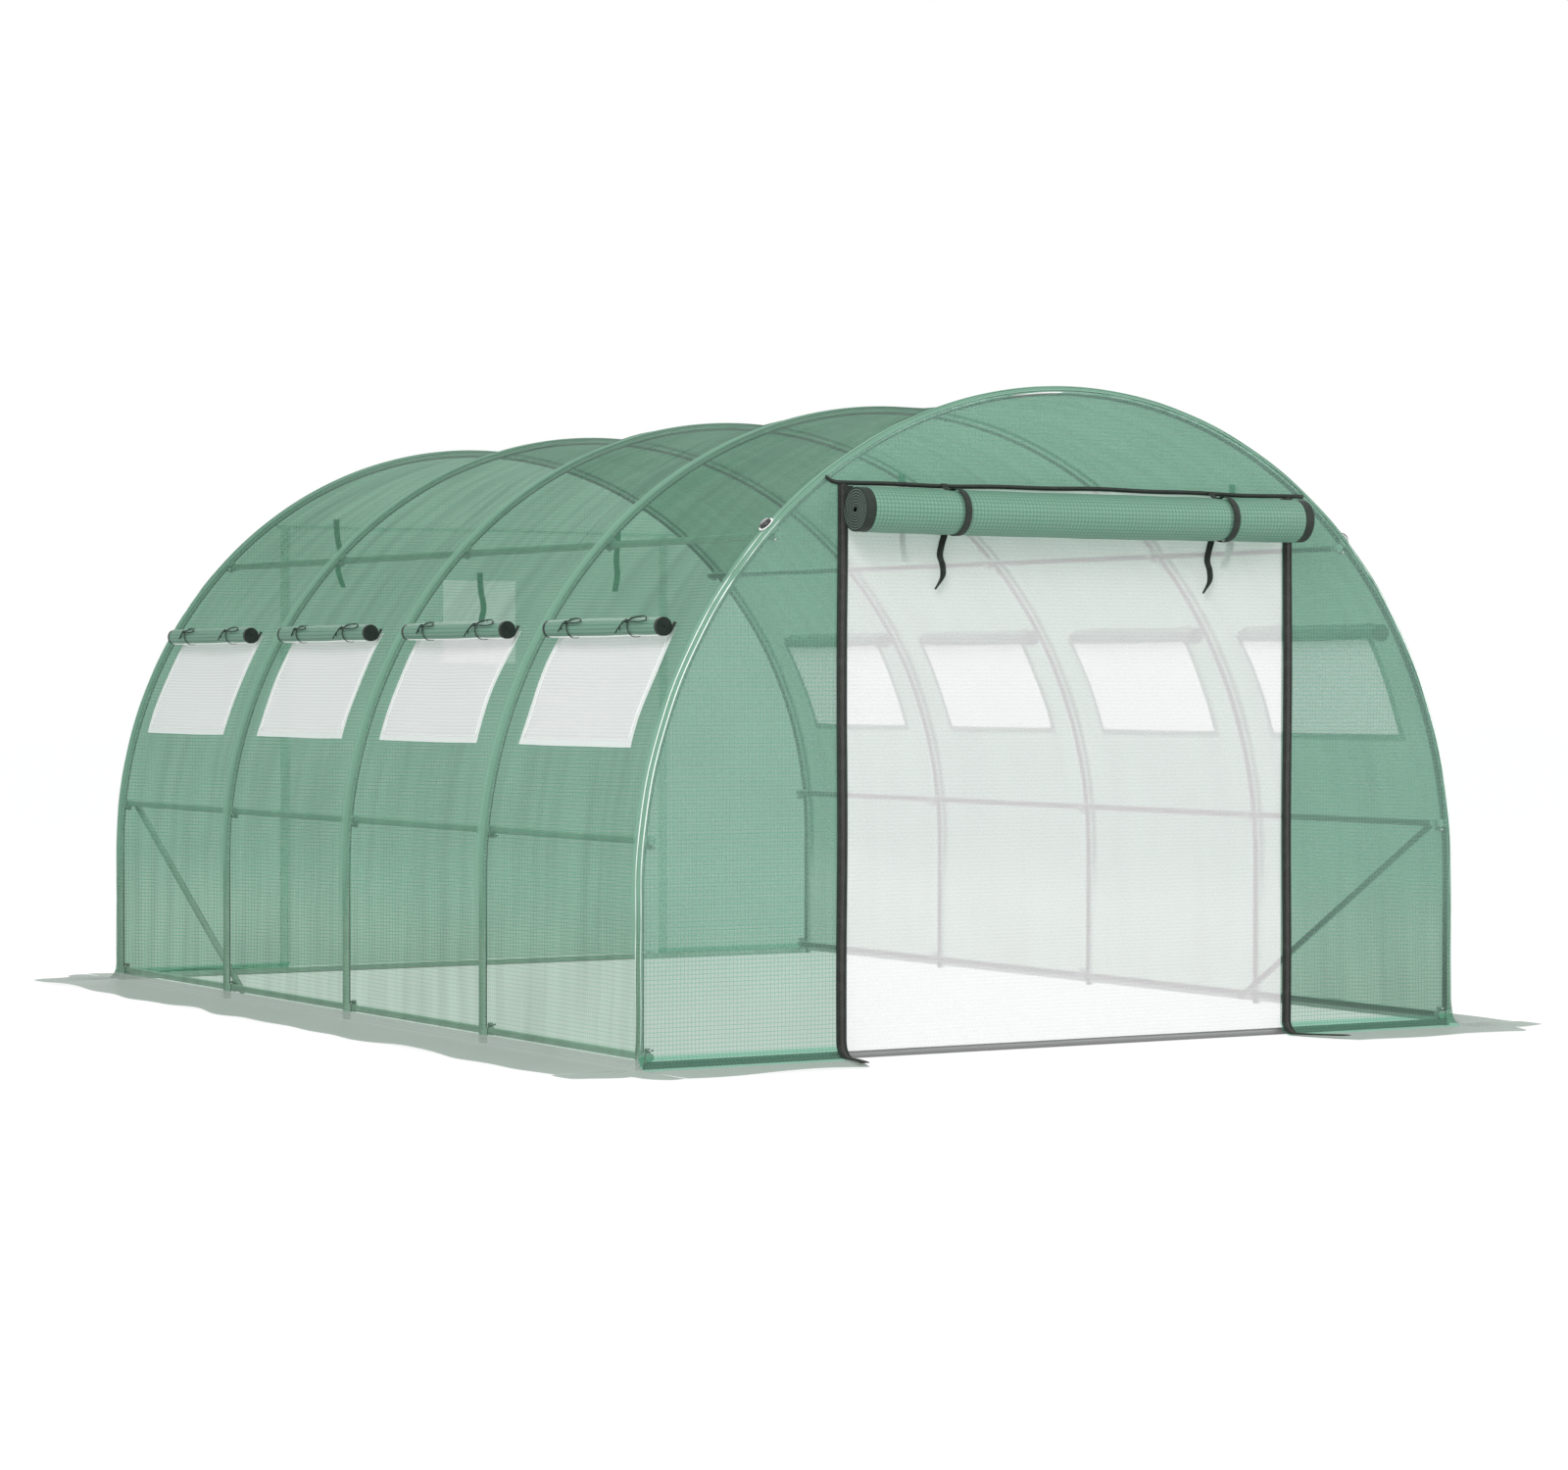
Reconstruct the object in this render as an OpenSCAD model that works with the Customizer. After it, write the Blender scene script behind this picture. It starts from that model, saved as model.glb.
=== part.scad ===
// Walk-in polytunnel greenhouse: steel hoops and rails under a sheet cover with
// roll-up mesh windows, a roll-up front door and ground skirts. Millimetres, +Z up,
// origin on the ground at the centre of the plan, door gable towards -Y.

/* [Frame] */
// Width over the hoops
tunnel_w = 3000; // [2400:10:3600]
// Length over the gable hoops
tunnel_l = 4000; // [3200:10:5000]
// Height of the straight hoop legs below the half round
leg_h = 500; // [420:10:700]
// Diameter of the hoop tube
hoop_d = 25; // [16:1:32]
// Diameter of the rail, sill and brace tube
rail_d = 22; // [14:1:28]
// Angle up the arc of the mid rails
mid_rail_angle = 6; // [2:0.5:8]
// Angle up the arc of the upper rails
upper_rail_angle = 45; // [38:1:56]
// Wall of a rail clamp
clamp_t = 2; // [1.5:0.5:4]
// Side of the square ear on a clamp that takes its bolt
clamp_ear = 12; // [8:1:16]
// How far a brace runs on past the foot of its hoop
brace_over = 24; // [10:1:28]

/* [Cover] */
// Modelled thickness of the cover sheet
sheet_t = 3; // [2:0.5:5]
// Clearance between neighbouring pieces
fit = 0.3; // [0.2:0.05:0.6]
// Radius where the sheet turns out onto the ground
flare_r = 50; // [30:5:100]
// Reach of the ground skirt from the wall
skirt_w = 280; // [250:10:400]
// Diameter of the caps over the front ends of the upper rails
cap_d = 40; // [30:1:60]
// Height of the caps
cap_h = 13; // [8:1:20]
// Width of the ring round a cap
cap_ring_w = 4; // [2:0.5:8]
// Thickness of the ring round a cap
cap_ring_t = 2; // [1:0.5:4]

/* [Side windows] */
// Distance from the middle of a hoop to the side window beside it
window_gap = 165; // [120:1:280]
// Angle up the arc of the window sill
window_sill_angle = 17; // [12:0.5:20]
// Angle up the arc of the window head
window_head_angle = 30; // [26:0.5:33]
// Width of the welded tape round a window
trim_w = 22; // [10:1:40]
// Thickness of the tape
trim_t = 1.2; // [1:0.1:2]
// Thickness of the mesh screens
screen_t = 1.5; // [1:0.25:2]
// Diameter of a rolled window flap
flap_roll_d = 60; // [40:1:70]
// Modelled thickness of the sheet in a rolled flap
flap_sheet_t = 3; // [2:0.5:4]
// Step from turn to turn in a rolled flap
flap_pitch = 6; // [5:0.5:8]
// Radius of the hollow in the middle of a rolled flap
flap_core_r = 4; // [4:0.5:8]
// How far a rolled flap reaches past the window at each end
flap_over = 25; // [10:1:40]
// Spacing of the ties from the middle of a window
tie_x = 190; // [100:5:240]
// Width of a window tie
tie_w = 8; // [4:1:20]
// Thickness of a window tie
tie_t = 2; // [1:0.5:3]
// Length of the loose end of a window tie below the roll's middle
tie_tail = 62; // [40:1:100]

/* [Doors] */
// Clear width between the zip strips
door_w = 1608; // [1200:4:1720]
// Drop of the headers over the doorways below the ridge
header_drop = 307; // [240:1:500]
// Width of a zip strip
zip_w = 36; // [20:1:60]
// Thickness of zip strips and headers
zip_t = 2.5; // [1.5:0.5:4]
// How far a zip strip lies out over the ground skirt
zip_foot = 230; // [60:10:250]
// Height of a header binding
header_h = 20; // [10:1:40]
// Distance of a header's ends from the cover
header_gap = 16; // [5:1:60]
// Diameter of the rolled front door
door_roll_d = 136; // [100:1:160]
// Modelled thickness of the sheet in the rolled door
roll_sheet_t = 4; // [2:0.5:5]
// Step from turn to turn in the rolled door
roll_pitch = 8; // [6:0.5:12]
// Radius of the hollow in the middle of the rolled door
roll_core_r = 10; // [6:1:20]
// How far the rolled door reaches past the doorway at each end
door_roll_over = 17; // [10:1:60]
// Distance of the left roll strap from the middle of the door
strap_left_x = 470; // [300:1:700]
// Distance of the right roll strap from the middle of the door
strap_right_x = 518; // [300:1:700]
// Width of a roll strap
strap_w = 24; // [15:1:40]
// Thickness of a roll strap
strap_t = 2; // [1:0.5:4]
// Length of a strap's loose end below the roll's middle
strap_tail = 230; // [120:5:320]
// Width of the window in the rear door
rear_window_w = 320; // [200:10:500]
// Height of the window in the rear door
rear_window_h = 320; // [200:10:500]
// Drop of the rear window's head below the header
rear_window_drop = 195; // [100:5:300]
// Distance of the inner ties from the middle of the door
inner_tie_x = 610; // [400:10:700]
// Width of an inner tie
inner_tie_w = 24; // [10:1:40]
// Thickness of an inner tie
inner_tie_t = 2; // [1:0.5:4]
// Height over which an inner tie is sewn to the sheet above it
inner_tie_sewn = 30; // [10:1:60]
// Drop of an inner tie below the header or the rear window's head
inner_tie_drop = 230; // [100:5:280]

/* [Hidden] */
$fn = 96;

steel = "#8f9495";
sheet_green = "#7fb89c";
skirt_green = "#b4c6ba";
mesh_white = "#f2f4f2";
trim_dark = "#41463f";
tie_green = "#2f4a3c";

bays = 4;
hoop_r = tunnel_w / 2 - hoop_d / 2;
hoop_pitch = (tunnel_l - hoop_d) / bays;
window_w = hoop_pitch - 2 * window_gap;
front_hoop_y = -(tunnel_l - hoop_d) / 2;
hoop_ys = [for (i = [0:bays]) front_hoop_y + i * hoop_pitch];
bay_ys = [for (i = [0:bays - 1]) front_hoop_y + (i + 0.5) * hoop_pitch];

// The rails run inside the hoops, one clamp wall away
rail_inset = hoop_d / 2 + rail_d / 2 + clamp_t + 2 * fit;
rail_r = hoop_r - rail_inset;
sleeve_r = rail_d / 2 + fit + clamp_t;
ground_rail_z = rail_d + fit + sleeve_r;
mid_rail_z = leg_h + rail_r * sin(mid_rail_angle);
mid_rail_x = rail_r * cos(mid_rail_angle);
brace_inset = sleeve_r + fit + rail_d / 2;

cover_r = tunnel_w / 2 + fit;
cover_out = cover_r + sheet_t;
gable_y = tunnel_l / 2 + fit;
cover_l = 2 * (gable_y + sheet_t);
// Outer face of what is bound to a gable: zip strips and headers
binding_y = gable_y + sheet_t + fit + zip_t;
door_h = leg_h + tunnel_w / 2 - header_drop;
rear_window_head = door_h - rear_window_drop;
rear_window_sill = rear_window_head - rear_window_h;
header_low = door_h - header_h / 2;
header_half = sqrt(pow(tunnel_w / 2, 2) - pow(door_h - leg_h, 2)) - header_gap;

door_roll_r = door_roll_d / 2;
door_roll_y = -(binding_y + fit + strap_t + fit + door_roll_r);
door_roll_z = header_low - fit - strap_t - fit - door_roll_r;

flap_roll_r = flap_roll_d / 2;
trim_r = cover_out + fit;
flap_centre_r = trim_r + trim_t + fit + tie_t + fit + flap_roll_r;

// Puts a shape drawn in the X-Z plane at length l along the tunnel
module along_tunnel(l) {
  rotate([90, 0, 0]) linear_extrude(l, center = true) children();
}

// Puts a shape drawn outward from the front gable's inner face at length l across it
module along_front(l) {
  translate([0, -gable_y, 0]) rotate([90, 0, -90]) linear_extrude(l, center = true) children();
}

module left_side() {
  mirror([1, 0, 0]) children();
}

module rear_end() {
  mirror([0, 1, 0]) children();
}

// Wedge of the arc's plan between two angles up the arc
module wedge(from, to) {
  steps = ceil((to - from) / 60);
  reach = 2 * tunnel_w;
  polygon(concat([[0, 0]], [for (i = [0:steps]) let (a = from + (to - from) * i / steps)
    reach * [cos(a), sin(a)]]));
}

// Ring sector about the arc's centre, which is leg_h above the ground
module arc_band(r_in, t, from, to) {
  translate([0, leg_h]) intersection() {
    difference() {
      circle(r_in + t, $fn = 360);
      circle(r_in, $fn = 360);
    }
    wedge(from, to);
  }
}

// Straight tube between two points
module rod(p, q, d) {
  v = q - p;
  translate(p) rotate([0, acos(v.z / norm(v)), atan2(v.y, v.x)]) cylinder(d = d, h = norm(v));
}

module hoop(i) {
  color(steel) translate([0, hoop_ys[i], 0]) union() {
    translate([0, 0, leg_h]) rotate([90, 0, 0])
      rotate_extrude(angle = 180, $fn = 180) translate([hoop_r, 0]) circle(d = hoop_d, $fn = 32);
    for (s = [-1, 1])
      translate([s * hoop_r, 0, 0]) cylinder(d = hoop_d, h = leg_h, $fn = 32);
  }
}

// Tube that runs the length of the tunnel at one place in its section
module long_rail(x, z) {
  color(steel) translate([x, 0, z]) rotate([90, 0, 0])
    cylinder(d = rail_d, h = tunnel_l, center = true, $fn = 32);
}

module upper_rail() {
  long_rail(rail_r * cos(upper_rail_angle), leg_h + rail_r * sin(upper_rail_angle));
}

module sill() {
  half = hoop_r - hoop_d / 2 - fit;
  color(steel) rod([-half, front_hoop_y, rail_d / 2], [half, front_hoop_y, rail_d / 2], rail_d);
}

// Brace from the front hoop at the mid rail down to the foot of the second hoop
module brace() {
  top = [mid_rail_x - brace_inset, hoop_ys[0], mid_rail_z];
  foot = [rail_r - brace_inset, hoop_ys[1], ground_rail_z];
  over = brace_over * (top - foot) / norm(top - foot);
  rod(foot - over, top, rail_d);
}

module corner_braces() {
  color(steel) {
    brace();
    rear_end() left_side() brace();
  }
}

// Cross clamp: a saddle on the inner half of a hoop and a sleeve round the rail.
// Drawn with the hoop along Z and the rail along Y, the inside of the tunnel at -X.
module cross_clamp() {
  reach = sleeve_r + clamp_ear;
  intersection() {
    difference() {
      union() {
        cylinder(d = hoop_d + 2 * (fit + clamp_t), h = 2 * sleeve_r, center = true);
        translate([-rail_inset, 0, 0]) rotate([90, 0, 0])
          cylinder(r = sleeve_r, h = hoop_d, center = true);
        translate([-rail_inset - clamp_ear / 2, -clamp_ear / 2, 0])
          cube([clamp_ear, clamp_ear, reach]);
      }
      cylinder(d = hoop_d + 2 * fit, h = 4 * reach, center = true);
      translate([-rail_inset, 0, 0]) rotate([90, 0, 0])
        cylinder(d = rail_d + 2 * fit, h = 2 * hoop_d, center = true);
    }
    translate([-2 * rail_inset, -hoop_d / 2, -2 * reach])
      cube([2 * rail_inset, hoop_d, 4 * reach]);
  }
}

module rail_clamps() {
  color(steel) for (y = hoop_ys, a = [mid_rail_angle, upper_rail_angle], s = [0, 1])
    mirror([s, 0, 0]) translate([0, y, leg_h]) rotate([0, -a, 0])
      translate([hoop_r, 0, 0]) mirror([0, 0, 1]) cross_clamp();
}

module foot_clamps() {
  color(steel) for (y = hoop_ys, s = [0, 1])
    mirror([s, 0, 0]) translate([hoop_r, y, ground_rail_z]) cross_clamp();
}

module lower_cover() {
  color(sheet_green) along_tunnel(cover_l) {
    translate([cover_r, flare_r]) square([sheet_t, leg_h - flare_r]);
    arc_band(cover_r, sheet_t, 0, window_sill_angle);
  }
}

// Strip of cover beside the windows: what the windows leave between sill and head
module window_band() {
  color(sheet_green) difference() {
    along_tunnel(cover_l) arc_band(cover_r, sheet_t, window_sill_angle, window_head_angle);
    for (y = bay_ys)
      translate([0, y, leg_h]) cube([2 * tunnel_w, window_w, 2 * tunnel_w], center = true);
  }
}

module roof_cover() {
  color(sheet_green) along_tunnel(cover_l)
    arc_band(cover_r, sheet_t, window_head_angle, 180 - window_head_angle);
}

// Section of a sheet that comes down the wall and turns out over the ground.
// off is its distance outside the wall's inner face, up its height, out its reach.
module turned_out(off, t, up, out) {
  if (up > flare_r) translate([off, flare_r]) square([t, up - flare_r]);
  translate([flare_r, flare_r]) intersection() {
    difference() {
      circle(flare_r - off);
      circle(flare_r - off - t);
    }
    translate([-flare_r, -flare_r]) square(flare_r);
  }
  translate([flare_r, off]) square([out - flare_r, t]);
}

module side_skirts() {
  color(skirt_green) for (s = [0, 1])
    mirror([s, 0, 0]) translate([cover_r, 0, 0])
      along_tunnel(cover_l) turned_out(0, sheet_t, flare_r, skirt_w);
}

module gable_skirts() {
  flap_l = tunnel_w / 2 - door_w / 2;
  color(skirt_green) for (e = [0, 1], s = [-1, 1])
    mirror([0, e, 0]) translate([s * (tunnel_w / 2 - flap_l / 2), 0, 0])
      along_front(flap_l) turned_out(0, sheet_t, flare_r, skirt_w);
}

// Round cap in a flat ring, on the cover over the front end of an upper rail
module rail_end_caps() {
  ring_r = cap_d / 2 + cap_ring_w;
  dome_r = cap_h - cap_ring_t;
  color(trim_dark) for (s = [0, 1])
    mirror([s, 0, 0]) translate([0, ring_r - tunnel_l / 2, leg_h]) rotate([0, 90 - upper_rail_angle, 0])
      translate([0, 0, cover_out + fit]) rotate_extrude() {
        square([ring_r, cap_ring_t]);
        square([cap_d / 2 - dome_r, cap_h]);
        translate([cap_d / 2 - dome_r, cap_ring_t]) intersection() {
          circle(dome_r);
          square(dome_r);
        }
      }
}

// Outline of a gable inside the cover, down to where the skirt begins
module gable_outline() {
  translate([0, leg_h]) intersection() {
    circle(d = tunnel_w, $fn = 360);
    translate([-tunnel_w / 2, 0]) square([tunnel_w, tunnel_w / 2]);
  }
  translate([-tunnel_w / 2, flare_r]) square([tunnel_w, leg_h - flare_r]);
}

// Plate in the front gable's plane, off its inner face and t thick
module front_plate(off, t) {
  translate([0, -gable_y - off, 0]) rotate([90, 0, 0]) linear_extrude(t) children();
}

module gable_right() {
  color(sheet_green) front_plate(0, sheet_t) intersection() {
    gable_outline();
    translate([door_w / 2, 0]) square([tunnel_w / 2, door_h]);
  }
}

module gable_top() {
  color(sheet_green) front_plate(0, sheet_t) intersection() {
    gable_outline();
    translate([-tunnel_w / 2, door_h]) square([tunnel_w, tunnel_w]);
  }
}

// Each window's part of a shell outside the arc, grown by edge on all four sides
module window_patch(y, r_in, t, edge) {
  turn = edge / cover_r * 180 / PI;
  translate([0, y, 0]) along_tunnel(window_w + 2 * edge)
    arc_band(r_in, t, window_sill_angle - turn, window_head_angle + turn);
}

module window_screens() {
  color(mesh_white) for (y = bay_ys)
    window_patch(y, cover_r + (sheet_t - screen_t) / 2, screen_t, -fit);
}

module window_trims() {
  color(mesh_white) for (y = bay_ys) difference() {
    window_patch(y, trim_r, trim_t, trim_w);
    window_patch(y, trim_r - trim_t, 3 * trim_t, 0);
  }
}

// Rolled-up sheet in section: a spiral with its free end drawn straight up.
// The straight end is on the +X side and stands up above the roll's middle.
module rolled_sheet(r, t, pitch, core_r, up, sides) {
  turns = floor((r - core_r) / pitch);
  last = turns * sides;
  outer = [for (i = [0:last]) let (a = -360 * i / sides)
    (r - pitch * i / sides) * [cos(a), sin(a)]];
  inner = [for (i = [last:-1:0]) let (a = -360 * i / sides)
    (r - t - pitch * i / sides) * [cos(a), sin(a)]];
  polygon(concat([[r, up]], outer, inner, [[r - t, up]]));
}

// Strap in section round a roll of radius r: from the top over the front and under
// to the back, where it runs up behind the sheet and hangs down as a loose end
module roll_strap(r, t, sheet, up, tail) {
  difference() {
    circle(r + fit + t);
    circle(r + fit);
    square(2 * r);
  }
  translate([0, r + fit]) square([r - sheet - fit, t]);
  translate([r + fit, -tail]) square([t, tail + up]);
}

// Places a section drawn with +X towards the wall at a window's rolled flap
module at_flap(y, l) {
  translate([0, y, leg_h]) rotate([0, -window_head_angle, 0]) translate([flap_centre_r, 0, 0])
    mirror([1, 0, 0]) along_tunnel(l) children();
}

module window_rolls() {
  color(sheet_green) for (y = bay_ys)
    at_flap(y, window_w + 2 * flap_over)
      rolled_sheet(flap_roll_r, flap_sheet_t, flap_pitch, flap_core_r, flap_roll_r, 16);
}

module window_ties() {
  color(tie_green) for (y = bay_ys, s = [-1, 1])
    at_flap(y + s * tie_x, tie_w)
      roll_strap(flap_roll_r, tie_t, flap_sheet_t, flap_roll_r, tie_tail);
}

module door_screen() {
  low = rail_d + fit;
  color(mesh_white) front_plate((sheet_t - screen_t) / 2, screen_t)
    translate([fit - door_w / 2, low]) square([door_w - 2 * fit, door_h - fit - low]);
}

// Places a section drawn with +X towards the gable at the rolled front door
module at_door_roll(x, l) {
  translate([x, door_roll_y, door_roll_z]) rotate([90, 0, 90])
    linear_extrude(l, center = true) children();
}

module door_roll() {
  color(sheet_green) at_door_roll(0, door_w + 2 * door_roll_over)
    rolled_sheet(door_roll_r, roll_sheet_t, roll_pitch, roll_core_r,
      header_low - fit - door_roll_z, 24);
}

module door_straps() {
  color(trim_dark) for (x = [-strap_left_x, strap_right_x])
    at_door_roll(x, strap_w)
      roll_strap(door_roll_r, strap_t, roll_sheet_t, header_low + header_h - door_roll_z, strap_tail);
}

module door_bindings(shade) {
  color(shade) {
    for (s = [-1, 1])
      translate([s * (door_w + zip_w) / 2, 0, 0]) along_front(zip_w)
        turned_out(sheet_t + fit, zip_t, header_low - fit, zip_foot);
    front_plate(sheet_t + fit, zip_t)
      translate([-header_half, header_low]) square([2 * header_half, header_h]);
  }
}

module rear_window(edge) {
  translate([-rear_window_w / 2 - edge, rear_window_sill - edge])
    square([rear_window_w + 2 * edge, rear_window_h + 2 * edge]);
}

module rear_door() {
  low = rail_d + fit;
  color(sheet_green) rear_end() front_plate(0, sheet_t) difference() {
    translate([fit - door_w / 2, low]) square([door_w - 2 * fit, door_h - fit - low]);
    rear_window(0);
  }
}

module rear_window_screen() {
  color(mesh_white) rear_end()
    front_plate((sheet_t - screen_t) / 2, screen_t) rear_window(-fit);
}

// Tie that hangs inside a gable with its top at height z
module inner_tie(x, z, l) {
  front_plate(-fit - inner_tie_t, inner_tie_t)
    translate([x - inner_tie_w / 2, z - l]) square([inner_tie_w, l]);
}

module inner_ties() {
  color(skirt_green) {
    for (e = [0, 1], s = [-1, 1])
      mirror([0, e, 0])
        inner_tie(s * inner_tie_x, door_h + inner_tie_sewn, inner_tie_sewn + inner_tie_drop);
    rear_end()
      inner_tie(0, rear_window_head + inner_tie_sewn, inner_tie_sewn + inner_tie_drop);
  }
}

hoop(0);  // front_hoop
hoop(1);  // second_hoop
hoop(2);  // middle_hoop
hoop(3);  // fourth_hoop
hoop(4);  // rear_hoop
long_rail(-rail_r, ground_rail_z);  // left_ground_rail
long_rail(rail_r, ground_rail_z);  // right_ground_rail
sill();  // front_sill
rear_end() sill();  // rear_sill
long_rail(-mid_rail_x, mid_rail_z);  // left_mid_rail
long_rail(mid_rail_x, mid_rail_z);  // right_mid_rail
left_side() upper_rail();  // left_upper_rail
upper_rail();  // right_upper_rail
corner_braces();
rail_clamps();
foot_clamps();
left_side() lower_cover();  // left_lower_cover
lower_cover();  // right_lower_cover
left_side() window_band();  // left_window_band
window_band();  // right_window_band
roof_cover();
side_skirts();
gable_skirts();
rail_end_caps();
left_side() gable_right();  // front_gable_left
gable_right();  // front_gable_right
gable_top();  // front_gable_top
rear_end() left_side() gable_right();  // rear_gable_left
rear_end() gable_right();  // rear_gable_right
rear_end() gable_top();  // rear_gable_top
left_side() window_screens();  // left_window_screens
window_screens();  // right_window_screens
left_side() window_trims();  // left_window_trims
window_trims();  // right_window_trims
left_side() window_rolls();  // left_window_rolls
window_rolls();  // right_window_rolls
left_side() window_ties();  // left_window_ties
window_ties();  // right_window_ties
door_screen();
door_roll();
door_straps();
door_bindings(trim_dark);  // front_door_bindings
rear_door();
rear_window_screen();
rear_end() door_bindings(sheet_green);  // rear_door_bindings
inner_ties();
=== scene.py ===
import math

import bpy
import numpy as np
from mathutils import Matrix, Vector


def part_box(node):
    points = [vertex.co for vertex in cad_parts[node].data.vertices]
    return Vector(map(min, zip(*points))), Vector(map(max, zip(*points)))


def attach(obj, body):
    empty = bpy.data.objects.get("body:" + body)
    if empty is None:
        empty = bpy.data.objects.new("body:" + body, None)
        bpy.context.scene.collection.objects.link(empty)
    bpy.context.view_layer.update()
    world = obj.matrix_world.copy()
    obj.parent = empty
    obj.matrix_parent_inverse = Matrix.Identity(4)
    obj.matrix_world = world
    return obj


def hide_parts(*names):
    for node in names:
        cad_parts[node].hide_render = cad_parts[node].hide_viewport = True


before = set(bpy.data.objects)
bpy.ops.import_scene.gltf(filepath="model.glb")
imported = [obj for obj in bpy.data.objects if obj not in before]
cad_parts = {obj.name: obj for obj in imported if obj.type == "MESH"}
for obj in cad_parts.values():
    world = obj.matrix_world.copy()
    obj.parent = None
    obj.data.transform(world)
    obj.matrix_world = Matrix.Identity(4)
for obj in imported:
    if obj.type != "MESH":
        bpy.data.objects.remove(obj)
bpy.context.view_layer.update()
rng = np.random.default_rng(11)

SIDES = ((-1, "left"), (1, "right"))

# Places read from the frame
COVER_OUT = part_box("right_lower_cover")[1].x
LEG_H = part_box("roof_cover")[1].z - COVER_OUT
FLARE_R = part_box("right_lower_cover")[0].z
SKIRT_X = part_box("side_skirts")[1].x
SKIRT_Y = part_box("gable_skirts")[1].y
DOOR_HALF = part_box("front_gable_right")[0].x
HEADER_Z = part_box("front_gable_top")[0].z
HEADER_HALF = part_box("front_door_bindings")[1].x
ZIP_FOOT_Y = -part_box("front_door_bindings")[0].y
HOOP_NODES = ["front_hoop", "second_hoop", "middle_hoop", "fourth_hoop", "rear_hoop"]
HOOP_BOXES = [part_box(n) for n in HOOP_NODES]
HOOP_YS = [(lo.y + hi.y) / 2 for lo, hi in HOOP_BOXES]
HOOP_D = HOOP_BOXES[0][1].y - HOOP_BOXES[0][0].y
HOOP_R = HOOP_BOXES[0][1].x - HOOP_D / 2
PITCH = HOOP_YS[1] - HOOP_YS[0]
BAY_YS = [y + PITCH / 2 for y in HOOP_YS[:-1]]

# Cover sheet: its middle surface and the round where it turns over a gable hoop, which opens out
# over a short height above the flare at its foot
SHEET_T = 0.003
COVER_R = COVER_OUT - SHEET_T / 2
GABLE_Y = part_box("roof_cover")[1].y - SHEET_T / 2
EDGE_R = 0.0125
EDGE_OPENS = 0.07
EDGE_START = GABLE_Y - EDGE_R
GABLE_R = COVER_R - EDGE_R
FLARE_MID = FLARE_R - SHEET_T / 2

# Distances down the cover from the ridge to the arc's end, the legs' end, the flare's end and the edge
S_ARC = COVER_R * math.pi / 2
S_LEG = S_ARC + LEG_H - FLARE_R
S_FLARE = S_LEG + FLARE_MID * math.pi / 2
S_END = S_FLARE + SKIRT_X - COVER_R - FLARE_MID

# Side windows, as angles up the arc and distances down the sheet from the ridge
SCREEN_LO, SCREEN_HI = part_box("right_window_screens")
WINDOW_HALF = BAY_YS[0] - SCREEN_LO.y
SILL_ANGLE = math.asin((SCREEN_LO.z - LEG_H) / COVER_R)
HEAD_ANGLE = math.asin((SCREEN_HI.z - LEG_H) / COVER_R)
S_SILL = COVER_R * (math.pi / 2 - SILL_ANGLE)
S_HEAD = COVER_R * (math.pi / 2 - HEAD_ANGLE)
SCREEN_LIFT = -0.0004
TRIM_W = 0.022
TRIM_LIFT = 0.0016
HEM_LIFT = 0.002
HEM_R = 0.0022

# Rolled-up door with its straps, and rolled-up window flaps with their ties
ROLL_PITCH = 0.008
ROLL_LO, ROLL_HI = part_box("door_roll")
ROLL_R = (ROLL_HI.y - ROLL_LO.y) / 2 + ROLL_PITCH / 4
ROLL_Y = ROLL_HI.y - ROLL_R
ROLL_Z = ROLL_LO.z + ROLL_R - ROLL_PITCH / 4
STRAP_LO, STRAP_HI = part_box("door_straps")
STRAP_W = 0.024
STRAP_T = 0.002
STRAP_GAP = 0.0015
STRAP_XS = (STRAP_LO.x + STRAP_W / 2, STRAP_HI.x - STRAP_W / 2)
FLAP_R = 0.030
FLAP_OVER = 0.025
FLAP_GAP = 0.0041
FLAP_CENTRE = COVER_OUT + FLAP_GAP + FLAP_R
TIE_X = 0.19
TIE_W = 0.007
TIE_T = 0.0014
TIE_GAP = 0.0008
BOW_R = 0.0021

# Strips beside the doorways, with the zip's flap, seams and teeth on them, and the header over them
ZIP_W = 0.036
ZIP_T = 0.0025
ZIP_LIFT = 0.0045
ZIP_FLAP_W = 0.014
ZIP_FLAP_T = 0.0034
ZIP_FLAP_LIFT = 0.0062
ZIP_SEAM_X = 0.012
ZIP_SEAM_R = 0.0009
ZIP_SEAM_LIFT = 0.0056
TOOTH_PITCH = 0.006
TOOTH_HALF = 0.0017
TOOTH_R = 0.0021
TOOTH_SHIFT = 0.0016
TOOTH_LIFT = 0.0014
HEADER_INSET = 0.012
HEADER_DROP = 0.011
HEADER_R = 0.0048
HEADER_W = 0.013

# Seam beads over a gable hoop: where they run round the edge, their size and how far they stand off
SEAM_ANGLES = (0.2, 1.35)
SEAM_R = 0.0017
SEAM_LIFT = 0.0016

# Clamps and rail caps
CLAMP_T = 0.002
CLAMP_FIT = 0.0003
CLAMP_EAR = 0.012
CAP_RING_R = 0.024
CAP_R = 0.020
CAP_H = 0.013
CAP_ROUND = 0.009
CAP_LIP = 0.0012

# Threads woven into the sheet, and the pitch of the denser rows in the insect mesh
THREAD_PITCH = 0.0125
THREAD_W = 0.0024
THREAD_SOFT = 0.0004
MESH_ROWS = 0.0115

# Camera that the photograph was matched with, for a frame of 1600 by 1500 pixels
CAMERA_AT = (-6.9793, -11.9452, 1.1118)
CAMERA_YAW = 0.5401
CAMERA_PITCH = -0.0137
CAMERA_ROLL = 0.0013
CAMERA_FOCAL_PX = 4073.33
FRAME_W_PX = 1600
SENSOR_W = 36
CLIP_END = 200

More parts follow.
